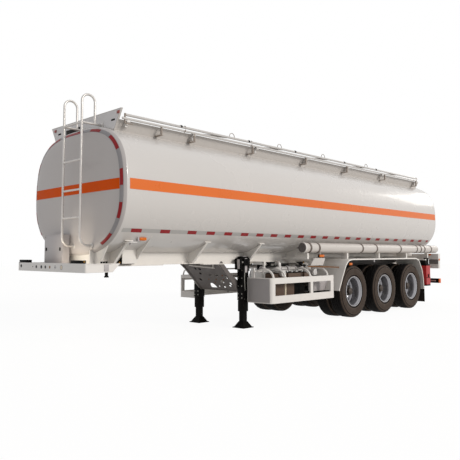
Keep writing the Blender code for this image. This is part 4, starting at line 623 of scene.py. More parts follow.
def wheel_mesh():
    """Both rims, disc with hand holes, hub, cap and nuts, about the middle of the twin wheels."""
    piece = Piece("wheel_fine")
    centre = (0, 0, 0)
    half = [(0.3, 0.1175), (0.3065, 0.1185), (0.3068, 0.129), (0.3035, 0.133),
            (0.299, 0.133), (0.296, 0.129), (0.2945, 0.118), (0.287, 0.108),
            (0.276, 0.098), (0.27, 0.08), (0.264, 0.05)]
    outline = half + [(0.26, 0.0)] + [(r, -y) for r, y in reversed(half)]
    lip = [(0.2945, 0.1285), (0.2965, 0.1338), (0.304, 0.1338), (0.307, 0.1285)]
    for middle in (TYRE_OFFSET, -TYRE_OFFSET):
        piece.lathe([(r, middle + y) for r, y in outline], centre, "y", "rim", 96)
        piece.lathe([(r, middle + y) for r, y in lip], centre, "y", "lip", 96)
    plate = Piece("disc")
    plate.lathe([(0.1, 0.04), (0.15, 0.04), (0.185, 0.036), (0.205, 0.03), (0.225, 0.04),
                 (0.24, 0.062), (0.252, 0.09), (0.264, 0.1), (0.264, 0.09), (0.255, 0.08),
                 (0.246, 0.052), (0.232, 0.026), (0.205, 0.014), (0.185, 0.02), (0.15, 0.024),
                 (0.1, 0.024), (0.1, 0.04)], centre, "y", "rim", 96)
    holes = Piece("holes")
    for z, x in around(10, HOLES_RADIUS, 0.5):
        holes.rod((x, 0.0, z), (x, 0.075, z), 0.03, "black", 20)
    things = []
    for shape, gap in ((plate, 0.00005), (holes, 0.0002)):
        bmesh.ops.remove_doubles(shape.bm, verts=shape.bm.verts, dist=gap)
        bmesh.ops.recalc_face_normals(shape.bm, faces=shape.bm.faces)
        mesh = bpy.data.meshes.new("part")
        shape.bm.to_mesh(mesh)
        shape.bm.free()
        thing = bpy.data.objects.new("part", mesh)
        bpy.context.scene.collection.objects.link(thing)
        things.append(thing)
    modifier = things[0].modifiers.new("cut", "BOOLEAN")
    modifier.operation, modifier.solver, modifier.object = "DIFFERENCE", "EXACT", things[1]
    cut = bpy.data.meshes.new_from_object(
        things[0].evaluated_get(bpy.context.evaluated_depsgraph_get()))
    before = len(piece.bm.faces)
    piece.bm.from_mesh(cut)
    piece.bm.faces.ensure_lookup_table()
    piece.mark(piece.bm.faces[before:], "rim")
    for thing in things:
        bpy.data.objects.remove(thing, do_unlink=True)
    piece.lathe([(0.262, -0.02), (0.1, -0.02), (0.1, 0.024)], centre, "y", "black", 64)
    piece.lathe([(0.12, 0.04), (0.12, 0.06), (0.11, 0.07), (0.098, 0.074), (0.096, 0.15),
                 (0.09, 0.168), (0.08, 0.172), (0.078, 0.196), (0.07, 0.222), (0.04, 0.238),
                 (0.0, 0.242)], centre, "y", "hub", 64)
    piece.lathe([(0.214, -0.03), (0.214, -0.262), (0.205, -0.269), (0.066, -0.269), (0.066, -0.1)],
                centre, "y", "cast", 64)
    for z, x in around(10, NUTS_RADIUS):
        piece.rod((x, 0.038, z), (x, 0.046, z), 0.021, "zinc", 16)
        piece.rod((x, 0.04, z), (x, 0.072, z), 0.017, "zinc", 6, end_radius=0.015)
        piece.rod((x, 0.04, z), (x, 0.088, z), 0.01, "zinc", 10)
    for z, x in around(8, CAP_BOLTS_RADIUS, 0.3):
        piece.rod((x, 0.165, z), (x, 0.178, z), 0.006, "zinc", 6)
    return piece.mesh()


def make_wheels():
    tyre, wheel = tyre_mesh(), wheel_mesh()
    for number, x in enumerate(AXLES_X, 1):
        for name, side in (("left", 1), ("right", -1)):
            turn = Matrix.Identity(4) if side > 0 else Matrix.Rotation(math.pi, 4, "Z")
            spin = Matrix.Rotation(math.radians(23.0 * number), 4, "Y")
            place = f"{number}_{name}"
            todo = [(wheel, f"wheel_fine_{place}", 0.0, f"hub_{place}", "rim_silver")]
            for label, offset in (("outer", TYRE_OFFSET), ("inner", -TYRE_OFFSET)):
                todo.append((tyre, f"tyre_fine_{place}_{label}", offset, f"tyre_{place}_{label}",
                             "tyre"))
            for mesh, label, offset, stands_for, slot in todo:
                thing = bpy.data.objects.new(label, mesh.copy())
                middle = Vector((x, side * (TWIN_Y + offset), WHEEL_Z))
                thing.data.transform(Matrix.Translation(middle) @ turn @ spin)
                bpy.context.scene.collection.objects.link(thing)
                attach(thing, f"wheel_{place}")
                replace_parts(thing, stands_for)


make_wheels()


# Finishes of the carried-over nodes

WEARS = {
    "white": "coupler_plate side_frame_right rear_light_beam valve_frame_left",
    "coaming": "roof_coaming",
    "beam": "chassis_front chassis_middle chassis_rear fender_left fender_right",
    "tube": "hose_tube",
    "mid": "hose_tube_door",
    "grey": "roof_walkway manhole_collar_1 manhole_collar_2 manhole_collar_3 front_cabinet",
    "black": "kingpin landing_leg_left landing_leg_right axle_1 axle_2 axle_3 rear_underrun_bar",
    "steel": "handrail_base handrail_top handrail_post_1 handrail_post_2 handrail_post_3 "
             "handrail_post_4 handrail_post_5 front_ladder discharge_pipe_1 discharge_pipe_2",
    "satin": "manhole_lid_1 manhole_lid_2 manhole_lid_3",
    "flap": "mud_flap_left mud_flap_right",
    "red_box": "extinguisher_box",
}
for finish_name, names in WEARS.items():
    for name in names.split():
        for material_slot in NODES[name].material_slots:
            material_slot.material = F[finish_name]


# Ladder

def make_ladder():
    piece = Piece("front_ladder_fine", slot="stainless")
    x, leg_x, wall_x, foot_x = 5.11, 4.9, 4.776, TANK_FRONT + 0.057
    top_z, bar_z, bend_z, foot_z = 3.582, 3.17, 1.555, 1.43
    sides_y = (0.02, 0.5)
    hoop, bend = (x - leg_x) / 2, bend_z - foot_z
    for y in sides_y:
        path = [(TANK_FRONT + 0.055, y, foot_z)]
        path += [(x - bend + bend * math.cos(a), y, bend_z + bend * math.sin(a))
                 for a in (math.radians(-90 + 9 * k) for k in range(11))]
        path += [((x + leg_x) / 2 + hoop * math.cos(a), y, top_z - hoop + hoop * math.sin(a))
                 for a in (math.radians(10 * k) for k in range(19))]
        path.append((leg_x, y, bar_z))
        piece.tube(path, 0.017, "steel", 18)
        piece.tube([(wall_x, y, bar_z), (x, y, bar_z)], 0.0165, "steel", 18)
        piece.lathe([(0.0, 0.0), (0.045, 0.0), (0.045, 0.008), (0.04, 0.012), (0.022, 0.014),
                     (0.018, 0.022)], (wall_x, y, bar_z), "x", "steel", 32)
        piece.lathe([(0.0, -0.03), (0.045, -0.03), (0.045, 0.008), (0.04, 0.013), (0.022, 0.015),
                     (0.018, 0.024)], (foot_x, y, foot_z), "x", "steel", 32)
        for c, s in around(4, 0.033, 0.5):
            piece.bolt((TANK_FRONT + 0.067, y + c, foot_z + s), "x", 0.005, 0.006)
    for z in (1.826, 2.218, 2.639, bar_z):
        piece.tube([(x, y, z) for y in sides_y], 0.0145, "steel", 16)
    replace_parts(piece.done(), "front_ladder")


# Small fittings

RAIL_Y, BASE_RAIL_Z, TOP_RAIL_Z = 0.95, 3.215, 3.27
LID_TOP_Z = 3.278
BOLSTER_FACE, BOLSTER_DECK_Z, CONNECTORS_Z, SKIRT_Y = 5.2898, 1.077, 1.128, 0.944
LEG_Y, CABLE_THICK = 0.572, 0.008
PIPE_Y, PIPE_Z = 0.78, 1.03
HOSE_TUBE_Y, HOSE_TUBE_Z, HOSE_TUBE_RADIUS = 1.08, 1.427, 0.0992
AIR_TANK_Z, SPRING_BRAKE = 0.99, (0.26, 0.69)


def wire(piece, centre, axis, radius, thick, finish_name, start, sweep=180.0, steps=12):
    """A bent wire round a centre, about an axis."""
    piece.tube([on_circle(centre, axis, radius, start + sweep * step / steps)
                for step in range(steps + 1)], thick, finish_name, 8)


def disc(piece, at, axis, radius, height, finish_name, sides=24):
    """A round boss with a softened rim, standing on a face. The sign of height is its side."""
    end = list(at)
    end[AXIS[axis]] += height
    piece.rod(at, end, radius, finish_name, sides, chamfer=min(abs(height), radius) * 0.25)


def make_rail_fittings():
    low, high, y = Piece("rail_brackets"), Piece("rail_clips", "top_rail"), RAIL_Y
    for x in (4.04, 3.375, 1.978, 0.392, -1.122, -2.811, -4.49):
        low.box(about(x, 0.011), about(y, 0.014), (3.08, 3.2), "clip", 0.003)
        low.box(about(x, 0.03), (0.812, y + 0.008), (3.073, 3.084), "clip", 0.003)
        for step in (-0.018, 0.018):
            low.bolt((x + step, 0.84, 3.084), "z", 0.006, 0.007)
    low.box((4.69, 4.706), about(y, 0.012), (3.148, 3.29), "clip", 0.003)
    low.box((4.56, 4.7), about(y, 0.012), (3.142, 3.154), "clip", 0.003)
    low.rod((4.65, y, BASE_RAIL_Z), (4.742, y, BASE_RAIL_Z), 0.0176, "steel", 20, chamfer=0.004)
    for x in (3.58, 2.02, -4.48):
        wire(low, (x, y, BASE_RAIL_Z), "x", 0.021, 0.0045, "clip", 180.0)
        low.box(about(x, 0.006), (y + 0.018, y + 0.025), (3.19, 3.236), "clip", 0.002)
        wire(high, (x, y, TOP_RAIL_Z), "x", 0.024, 0.0045, "clip", 0.0)
    for x in (2.51, 1.22, -0.21, -1.94):
        wire(high, (x, y, TOP_RAIL_Z + 0.02), "y", 0.06, 0.0055, "clip", 0.0, steps=16)
    for x in (3.656, 2.089, 0.749, -1.004, -2.371):
        high.rod((x, y + 0.014, TOP_RAIL_Z), (x, y + 0.034, TOP_RAIL_Z), 0.014, "cast", 14,
                 chamfer=0.004)
        high.box(about(x, 0.016), (y - 0.01, y + 0.018), (3.286, 3.294), "cast", 0.003)
    low.done()
    high.done()


def make_roof():
    weld = Piece("coaming_weld")
    for y in (0.806, -0.806):
        weld.tube([(4.775 - 9.55 * k / 24, y, 3.055) for k in range(25)], 0.01, "coaming", 10)
    weld.done()
    tread = Piece("walkway_grating")
    for k in range(180):
        tread.box(about(4.48 - 0.05 * k, 0.004), (0.392, 0.688), (3.2215, 3.2245), "coaming")
    for y in (0.388, 0.54, 0.692):
        tread.box((-4.495, 4.495), about(y, 0.004), (3.2215, 3.226), "coaming")
    tread.done()
    for number, x in enumerate((3.2, 0.0, -3.2), 1):
        lid = Piece(f"lid_details_{number}", f"lid_{number}")
        for c, s in around(12, 0.15):
            lid.bolt((x + c, s, LID_TOP_Z), "z", 0.007, 0.008)
        for profile, name, sides in (
                (((0.0, 0.02), (0.05, 0.02), (0.058, 0.014), (0.06, -0.004)), "cast", 32),
                (((0.096, -0.002), (0.1, 0.006), (0.108, 0.006), (0.112, -0.002)), "satin", 48)):
            lid.lathe(profile, (x, 0.0, LID_TOP_Z), "z", name, sides)
        lid.done()
    splash = Piece("splash_details")
    # The plate over the splash's front face takes the lighter splash paint: painted light on a face in
    # shade.
    outline = [(0.948, 3.342), (-0.948, 3.342), (-0.805, 3.09)]
    outline += [(y, ZC + TANK_UP * (1 - (abs(y) / TANK_HALF) ** UP_POWER) ** (1 / UP_POWER) + 0.012)
                for y in (-0.76, -0.6, -0.4, 0.0, 0.4, 0.6, 0.76)]
    outline.append((0.805, 3.09))
    splash.plate(outline, "x", 4.7745, 4.7757, "splash")
    for y, z in ((0.775, 3.21), (-0.711, 3.227)):
        splash.box((4.774, 4.777), about(y, 0.045), about(z, 0.012), "black", 0.001)
        splash.box((4.773, 4.778), about(y, 0.052), (z + 0.013, z + 0.017), "grey", 0.001)
    # A dark slab with grey lips on the splash, beside the ladder: painted shade for the recess under the
    # splash.
    splash.boxes((4.774, 4.7785, -0.51, -0.04, 3.17, 3.25, "cast", 0.002),
                 (4.773, 4.781, -0.52, -0.03, 3.25, 3.258, "grey", 0.002),
                 (4.773, 4.781, -0.52, -0.03, 3.162, 3.17, "grey", 0.002))
    for y, z in ((0.905, 3.301), (-0.842, 3.296)):
        splash.box((4.773, 4.79), about(y, 0.03), about(z, 0.02), "red_lens", 0.005)
    splash.done()


def make_bolster():
    piece = Piece("bolster_fittings")
    face, z = BOLSTER_FACE, CONNECTORS_Z
    piece.rod((face, -0.861, 1.134), (face + 0.0008, -0.861, 1.134), 0.024, "black", 24)
    for y, radius, name in ((-0.487, 0.008, "cast"), (-0.379, 0.019, "cast"), (-0.227, 0.021, "black"),
                            (-0.109, 0.019, "cast"), (0.018, 0.017, "brass"), (0.17, 0.022, "satin"),
                            (0.34, 0.026, "cream")):
        rings = [(0.0006, 1.35, "grey", 24), (0.001, 1.0, name, 24), (0.0012, 0.45, "black", 16)]
        for reach, share, ring_name, sides in rings[:2] if name == "cream" else rings:
            piece.rod((face, y, z), (face + reach, y, z), radius * share, ring_name, sides)
    for y0, y1 in ((-SKIRT_Y, -0.641), (0.566, 0.869)):
        piece.boxes((5.225, 5.288, y0, y1, 1.186, 1.192, "black", 0.002),
                    (5.222, 5.286, y0 + 0.004, y1 - 0.004, 1.192, 1.228, "cast", 0.01),
                    (5.284, 5.2895, y0 + 0.02, y1 - 0.02, 1.199, 1.222, "black", 0.002))
    piece.rod((5.262, 0.869, 1.208), (5.262, 0.884, 1.208), 0.011, "brass", 14, chamfer=0.003)
    for side in (1, -1):
        piece.boxes((4.88, 5.28, SKIRT_Y, SKIRT_Y + 0.008, 1.172, 1.184, "white", 0.003),
                    (4.88, 5.28, SKIRT_Y, SKIRT_Y + 0.008, 1.066, 1.078, "white", 0.003),
                    (5.262, 5.284, SKIRT_Y, SKIRT_Y + 0.006, 1.078, 1.172, "white", 0.002),
                    (4.925, 5.0, SKIRT_Y, SKIRT_Y + 0.005, 1.08, 1.17, "grey", 0.002), side=side)
        for x in (5.034, 4.995, 4.956) if side > 0 else ():
            piece.box(about(x, 0.008), (SKIRT_Y - 0.03, SKIRT_Y + 0.004), (1.186, 1.212), "cast", 0.003)
    for x in (5.1, 5.0):
        for side in (1, -1):
            piece.bolt((x, side * 0.88, BOLSTER_DECK_Z), "z", 0.01, 0.01)
    piece.done()
    pad = Piece("lifting_pad")
    pad.box((4.538, 4.674), (0.905, 1.055), (1.47, 1.482), "white", 0.003)
    pad.rod((4.606, 0.98, 1.436), (4.606, 0.98, 1.474), 0.012, "grey", 12)
    pad.boxes((4.318, 4.462, 0.93, 0.962, 1.494, 1.552, "white", 0.006),
              (4.326, 4.446, 0.958, 0.992, 1.502, 1.546, "amber", 0.01),
              (4.452, 4.48, 0.94, 0.99, 1.49, 1.556, "grey", 0.006))
    pad.plate([(4.592, 1.165), (4.428, 1.165), (4.428, 1.3)], "y", 0.59, 0.602, "black")
    pad.rod((4.52, 0.602, 1.19), (4.52, 0.618, 1.19), 0.014, "brass", 14, chamfer=0.003)
    pad.done()
    box = Piece("cabinet_fittings")
    box.box((5.0598, 5.064), (-0.56, -0.066), (1.185, 1.58), "grey", 0.002)
    for y in (-0.52, -0.11):
        box.box((5.063, 5.07), about(y, 0.018), (1.36, 1.41), "cast", 0.003)
    for z in (1.2, 1.565):
        for y in (-0.545, -0.08):
            box.bolt((5.063, y, z), "x", 0.006, 0.006)
    box.done()


def make_brace():
    """The landing legs' brace: two struts and a pierced sheet that slopes between them."""
    piece = Piece("landing_brace_fine")
    top, foot = Vector((2.352, 0.0, 1.131)), Vector((1.858, 0.0, 0.64))
    across = Vector((0.0, 1.0, 0.0))
    length = (foot - top).length
    down = (foot - top).normalized()
    out = across.cross(down)
    out = out if out.x > 0 else -out

    def at(y, along, lift=0.0):
        return top + down * along + out * lift + across * y

    def slab(y, along, lift, finish_name):
        points = [at(v, u, w) for w in lift for v, u in ((y[0], along[0]), (y[1], along[0]),
                                                         (y[1], along[1]), (y[0], along[1]))]
        piece.faces(points, BLOCK_FACES, finish_name)
    for side in (1, -1):
        slab((side * 0.47, side * 0.5), (0.0, length), (-0.075, 0.006), "mid")
        slab((side * 0.462, side * 0.508), (0.0, length), (0.006, 0.011), "mid")
    slab((-0.51, -0.5), (0.0, length), (-0.02, 0.011), "white")
    slab((-0.47, 0.47), (0.02, 0.032), (-0.04, 0.003), "mid")
    slab((-0.47, 0.47), (length - 0.012, length), (-0.05, 0.003), "mid")
    loops = [[(-0.47, 0.02), (0.47, 0.02), (0.47, length), (-0.47, length)]]
    for y, along, half_y, half_along in (
            (0.05, 0.299, 0.0425, 0.0225), (0.22, 0.292, 0.03, 0.03),
            (0.44, 0.322, 0.0175, 0.05), (0.245, 0.46, 0.03625, 0.03625),
            (0.219, 0.601, 0.02, 0.02), (0.095, 0.587, 0.0175, 0.0175),
            (0.379, 0.559, 0.02, 0.02), (0.43, 0.499, 0.02, 0.0275),
            (-0.227, 0.127, 0.03, 0.0275), (-0.114, 0.135, 0.03, 0.0275),
            (-0.182, 0.254, 0.0275, 0.0275), (-0.3, 0.42, 0.0325, 0.0325)):
        loops.append([(y + half_y * c, along + half_along * s) for c, s in around(20)])
    loops.append([(-0.07 + 0.07 * c, 0.644 - 0.14 * s) for c, s in around(32)[:17]])
    edges = []
    for loop in loops:
        verts = [piece.bm.verts.new(at(y, along)) for y, along in loop]
        edges += [piece.bm.edges.new(pair) for pair in zip(verts, verts[1:] + verts[:1])]
    filled = bmesh.ops.triangle_fill(piece.bm, use_beauty=True, edges=edges)["geom"]
    piece.mark([face for face in filled if isinstance(face, bmesh.types.BMFace)], "mid", False)
    for y, along in ((0.366, 0.287), (0.13, 0.4), (0.32, 0.4), (0.05, 0.48), (-0.06, 0.4)):
        piece.rod(at(y, along, -0.01), at(y, along, 0.006), 0.013, "rust", 12)
    for y in (0.486, -0.486):
        piece.plate([(2.29, 1.131), (2.41, 1.131), (1.842, 0.7), (1.842, 0.8)], "y",
                    *about(y, 0.008), "mid")
    for z in (0.64, 0.9):
        piece.boxes((1.822, 1.838, -0.47, 0.47, z, z + 0.02, "mid", 0.003),
                    (1.79, 1.838, -0.47, 0.47, z, z + 0.01, "mid", 0.003))
    piece.rod((2.326, -0.319, 1.104), (2.284, 0.311, 1.063), 0.014, "white", 14)
    piece.rod((2.357, 0.339, 1.06), (2.357, 0.339, 1.131), 0.012, "white", 12)
    wire(piece, (1.885, 0.25, 0.64), "x", 0.022, 0.005, "cast", 180.0)
    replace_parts(piece.done(), "landing_brace")


def make_legs():
    for name, side in (("left", 1), ("right", -1)):
        piece = Piece(f"landing_leg_details_{name}")
        y = side * LEG_Y
        for z in (0.53, 0.6, 0.74, 0.88, 1.02):
            for step in (0.045, -0.045):
                piece.bolt((1.906, y + side * step, z), "x", 0.009, 0.01)
        piece.box((1.8, 1.86), (side * 0.646, side * 0.652), (0.98, 1.235), "grey", 0.002)
        piece.box((1.76, 1.77), about(y, 0.03), (0.98, 1.11), "grey", 0.002)
        piece.box((1.776, 1.884), about(y, 0.054), (1.262, 1.275), "grey", 0.003)
        piece.rod((1.83, side * 0.692, 1.165), (1.83, side * 0.712, 1.165), 0.022, "cast", 16,
                  chamfer=0.004)
        piece.rod((1.88, side * 0.66, 1.195), (1.96, side * 0.66, 1.195), 0.01, "cast", 12)
        handle = [(x, side * out, z) for x, out, z in (
            (1.86, 0.648, 1.0), (1.872, 0.65, 0.9), (1.868, 0.652, 0.78), (1.858, 0.648, 0.69))]
        piece.tube(curved(handle, 5), 0.006, "zinc", 10)
        wire(piece, (1.858, side * 0.648, 0.676), "y", 0.014, 0.004, "zinc", 90.0, 270.0)
        for x in (1.79, 1.87):
            piece.rod((x, side * 0.6, 0.512), (x, side * 0.646, 0.512), 0.01, "zinc", 12)
        piece.box((1.752, 1.908), about(y, 0.078), (0.49, 0.5), "cast", 0.004)
        piece.box((1.754, 1.906), about(y, 0.074), (0.5, 1.262), "black", 0.012)
        piece.box((1.761, 1.899), about(y, 0.068), (0.285, 0.49), "black", 0.012)
        piece.box((1.892, 2.0), (y - 0.05, y + 0.085), (1.03, 1.235), "black", 0.014)
        piece.box((1.999, 2.004), (y + side * 0.02, y + side * 0.075), (1.045, 1.215), "grey", 0.001)
        disc(piece, (1.95, y + side * 0.085, 1.165), "y", 0.04, side * 0.014, "cast")
        disc(piece, (1.95, y + side * 0.099, 1.165), "y", 0.016, side * 0.012, "zinc")
        piece.box((1.716, 1.772), (y - 0.045, y + 0.055), (1.0, 1.24), "cast", 0.008)
        for z in (1.04, 1.12, 1.2):
            piece.bolt((1.744, y + side * 0.055, z), "y", 0.008, side * 0.01)
        piece.done()


def make_leg_cables():
    """A cable on each landing leg: out of the gearbox, down under its weight, into the leg."""
    points = ((1.716, 0.6, 1.03), (1.69, 0.6, 1.028), (1.665, 0.601, 0.995),
              (1.654, 0.602, 0.93), (1.652, 0.603, 0.86), (1.658, 0.604, 0.795),
              (1.682, 0.606, 0.752), (1.718, 0.608, 0.744), (1.754, 0.61, 0.76))
    for name, side in (("left", 1), ("right", -1)):
        piece = Piece(f"leg_cable_{name}")
        route = curved([(x, side * y, z) for x, y, z in points], 4)
        piece.tube(route, CABLE_THICK / 2, "hose", 10)
        piece.done()


def make_valve_box():
    piece = Piece("valve_gear")
    for x, y, reach in ((1.34, PIPE_Y, 0.165), (0.365, PIPE_Y, 0.11)):
        disc(piece, (x, y, 1.08), "z", reach, 0.022, "cast", 40)
        disc(piece, (x, y, 1.1), "z", 0.045, 0.04, "cast")
        piece.rod((x, y, PIPE_Z), (x, y, 1.085), 0.04, "grey", 20)
        for c, s in around(6, 0.75 * reach):
            piece.bolt((x + c, y + s, 1.102), "z", 0.01, 0.012)
    piece.box((1.176, 1.46), (0.77, 0.79), (1.138, 1.164), "black", 0.005)
    piece.rod((1.455, PIPE_Y, 1.151), (1.52, PIPE_Y, 1.151), 0.014, "rust", 12, chamfer=0.003)
    piece.box((0.247, 0.478), (0.771, 0.789), (1.138, 1.158), "black", 0.004)
    disc(piece, (0.3, 0.79, 1.148), "y", 0.018, 0.02, "brass")
    piece.tube(bent([(1.07, 0.7, 1.15), (1.07, 0.8, 1.15), (1.07, 0.8, 1.0)], 0.06),
               0.036, "steel", 18)
    pipes = [(start, end, 0.045, "steel", 0.01) for start, end in (
        (1.54, 1.32), (1.26, 1.05), (1.02, 0.85), (0.78, 0.6))]
    flanges = [(x - 0.012, x + 0.012, 0.058, "grey", 0.004) for x in (1.56, 1.29, 1.035, 0.815, 0.585)]
    for start, end, radius, name, chamfer in pipes + flanges:
        piece.rod((start, PIPE_Y, PIPE_Z), (end, PIPE_Y, PIPE_Z), radius, name, 28, chamfer=chamfer)
    for start, end in ((1.52, 1.1), (1.06, 0.62), (0.56, 0.32)):
        piece.box((end, start), (0.83, 1.01), (0.8, 0.955), "umber", 0.01)
        piece.box((end + 0.015, start - 0.015), (0.84, 1.0), (0.955, 0.968), "black", 0.004)
        for step in range(3):
            x = start - (start - end) * (step + 0.5) / 3
            piece.rod((x, 0.92, 0.966), (x, 0.92, 1.0), 0.018, "satin", 14, chamfer=0.004)
    piece.boxes((1.119, 1.368, 0.93, 0.955, 0.54, 0.79, "umber", 0.006),
                (0.814, 1.044, 0.93, 0.955, 0.54, 0.79, "umber", 0.006),
                (1.062, 1.098, 0.93, 0.962, 0.52, 0.8, "cream", 0.004),
                (0.46, 0.806, 0.9, 0.94, 0.52, 0.8, "black", 0.006),
                (-0.478, 0.125, 0.78, 0.92, 0.575, 0.8, "grey", 0.01),
                (-0.478, 0.125, 0.78, 0.915, 0.52, 0.572, "black", 0.006),
                (1.718, 1.742, 0.738, 0.762, 0.87, 1.06, "white", 0.003),
                (1.478, 1.502, 0.738, 0.762, 0.87, 1.06, "white", 0.003))
    piece.tube(bent([(0.5, 0.9, 1.06), (0.47, 1.0, 0.96), (0.3, 1.01, 0.86),
                     (0.14, 0.96, 0.82)], 0.1), 0.02, "white", 14)
    piece.rod((0.568, 1.1, 1.073), (-0.548, 1.1, 1.037), 0.011, "rust", 12)
    points = [(0.19, 0.9, 1.08), (-0.232, 0.9, 1.08), (-0.232, 0.96, 1.227), (0.19, 0.96, 1.227)]
    piece.faces(points + [(x, y - 0.006, z) for x, y, z in points], BLOCK_FACES, "white")
    piece.boxes((0.105, 0.275, 1.12, 1.15, 1.24, 1.3, "cast", 0.006),
                (0.11, 0.27, 1.148, 1.168, 1.246, 1.296, "amber", 0.008),
                (0.182, 0.198, 1.12, 1.128, 1.296, 1.34, "white", 0.002))
    for x in (1.71, 1.383, 0.619, 0.042):
        path = [(x, y, z) for y, z in ((0.8, 1.0), (0.94, 1.035), (1.06, 1.025), (1.155, 0.96),
                                       (1.184, 0.884))]
        piece.tube(curved(path, 5), 0.019, "white", 14)
        disc(piece, (x, 1.184, 0.89), "z", 0.027, 0.008, "white")
    # The first block, a thin grey plate over the valve frame's white front, is painted shade; the last,
    # a dark inner grey sheet behind the valve gear, is painted shade too.
    piece.boxes((1.7895, 1.7915, 0.662, 1.16, 0.462, 0.876, "frame", 0.0008),
                (0.56, 1.48, 0.6, 0.64, 1.02, 1.11, "cast", 0.006),
                (-0.52, 0.56, 0.56, 0.6, 0.88, 1.08, "inner", 0.006))
    piece.done()


def make_hose_tube():
    bands = Piece("hose_tube_bands")
    y, z, r = HOSE_TUBE_Y, HOSE_TUBE_Z, HOSE_TUBE_RADIUS
    for x in (0.559, 0.276, -1.354, -1.971, -3.117, -3.99, -4.218, -4.423, -4.815):
        bands.lathe([(r, -0.028), (r + 0.005, -0.025), (r + 0.005, 0.025), (r, 0.028)], (x, y, z), "x",
                    "band")
        bands.box(about(x, 0.014), (y - 0.15, y - 0.085), (z - 0.02, z + 0.004), "band", 0.003)
    bands.lathe([(r, -0.03), (r + 0.006, -0.028), (r + 0.006, -0.004), (r, -0.002)], (0.73, y, z), "x",
                "white")
    bands.done()


def make_fender_fittings():
    piece = Piece("fender_fittings")
    for side in (1, -1):
        # Inner grey plates under the fender lips: painted shade below the lip.
        piece.plate([(-0.6, 1.204), (-3.9, 1.204), (-3.9, 1.086), (-0.6, 1.086)], "y",
                    side * 0.625, side * 0.631, "inner")
        piece.boxes((-0.79, -0.68, 1.226, 1.249, 1.078, 1.126, "amber", 0.008),
                    (-0.8, -0.67, 1.222, 1.232, 1.07, 1.134, "cast", 0.003),
                    (-1.72, -1.675, 1.238, 1.249, 1.13, 1.204, "frame", 0.003), side=side)
        for x in (-1.2, -2.19, -3.2):
            for y in (1.1, 0.78):
                piece.bolt((x, side * y, 1.2095), "z", 0.01, 0.01)
    piece.done()
    under = Piece("running_gear")
    brake_y, brake_z = SPRING_BRAKE
    for x in AXLES_X:
        for side in (1, -1):
            y = side * brake_y
            under.lathe([(0.0, 0.0), (0.06, 0.0), (0.078, 0.012), (0.08, 0.06), (0.086, 0.064),
                         (0.086, 0.074), (0.08, 0.078), (0.078, 0.13), (0.055, 0.15), (0.0, 0.15)],
                        (x + 0.14, y, brake_z), "x", "cast", 28)
            under.rod((x + 0.02, y, brake_z), (x + 0.145, y, brake_z), 0.014, "zinc", 12)
            under.box((x - 0.02, x + 0.15), about(y, 0.025), (0.595, 0.625), "cast", 0.006)
    for x, y in ((-1.535, 0.12), (-2.845, 0.12), (-1.535, -0.16), (-2.845, -0.16)):
        under.lathe([(0.0, -0.3), (0.07, -0.295), (0.115, -0.27), (0.125, -0.235), (0.125, 0.235),
                     (0.115, 0.27), (0.07, 0.295), (0.0, 0.3)], (x, y, AIR_TANK_Z), "x", "black", 36)
        for step in (-0.18, 0.18):
            under.lathe([(0.1255, -0.015), (0.129, -0.013), (0.129, 0.013), (0.1255, 0.015)],
                        (x + step, y, AIR_TANK_Z), "x", "zinc", 36)
            under.box(about(x + step, 0.012), about(y, 0.012), (1.11, 1.16), "cast", 0.002)
    # Inner grey skirts and brackets between the wheels: painted shade filling the gaps there.
    for side in (1, -1):
        under.boxes((-3.88, -0.62, 0.5, 0.53, 0.985, 1.095, "inner", 0.006), side=side)
        for x in (-0.76, -1.535, -2.845, -3.76):
            under.box(about(x, 0.05), (side * 0.478, side * 0.502), (1.0, 1.128), "inner", 0.004)
    for y, z in ((-0.3, 1.15), (-0.24, 1.165), (0.3, 1.15)):
        under.rod((4.6, y, z), (-4.5, y, z), 0.009, "cast", 10)
    under.done()


def make_rear():
    piece = Piece("rear_fittings")
    for side in (1, -1):
        for k, name in enumerate(("red_lens", "amber", "red_lens")):
            at = (-5.288, side * 1.07, 1.115 - 0.072 * k)
            disc(piece, at, "x", 0.03, -0.0028, name)
            disc(piece, at, "x", 0.034, -0.0022, "cast")
        # The inner grey block across the light beam, from 1.04 to 1.155 high, is painted shade for the
        # dark gap between the lamp boxes.
        piece.boxes((-5.2908, -5.289, 0.64, 0.9, 1.195, 1.275, "red_lens", 0.0006),
                    (-5.2904, -5.289, 0.63, 0.91, 1.186, 1.284, "cast", 0.0004),
                    (-5.172, -5.16, 0.945, 1.198, 1.04, 1.155, "inner", 0.003),
                    (-5.281, -5.179, 1.185, 1.2095, 0.539, 0.656, "orange_plastic", 0.004),
                    (-5.1805, -5.177, 0.97, 1.12, 0.585, 0.612, "pink", 0.001),
                    (-5.27, -5.19, 1.1998, 1.206, 1.13, 1.18, "amber", 0.004),
                    (-5.2805, -5.279, 0.2, 0.9, 0.57, 0.64, "red_tape", 0.0005),
                    (-5.255, -5.205, 0.955, 0.965, 0.56, 0.65, "orange_plastic", 0.003),
                    (-4.66, -4.41, 1.2005, 1.204, 0.7, 0.712, "black", 0.001), side=side)
    for y, z in ((0.894, 1.277), (0.977, 1.29)):
        for side in (1, -1):
            piece.box((-5.171, -5.15), about(side * y, 0.034), about(z, 0.022), "amber", 0.008)
    piece.done()
    box = Piece("extinguisher_details")
    box.boxes((-4.722, -4.64, 1.032, 1.132, 0.96, 1.2, "black", 0.006),
              (-4.655, -4.416, 0.955, 1.205, 1.005, 1.045, "black", 0.012),
              (-4.577, -4.494, 0.94, 1.148, 1.04, 1.145, "cast", 0.008),
              (-4.655, -4.416, 0.955, 1.205, 0.495, 0.53, "black", 0.012),
              (-4.56, -4.51, 1.2, 1.216, 0.7, 0.79, "cast", 0.005))
    box.done()


for make in (make_ladder, make_rail_fittings, make_roof, make_bolster, make_brace, make_legs,
             make_leg_cables, make_valve_box, make_hose_tube, make_fender_fittings, make_rear):
    make()


# View, light and floor

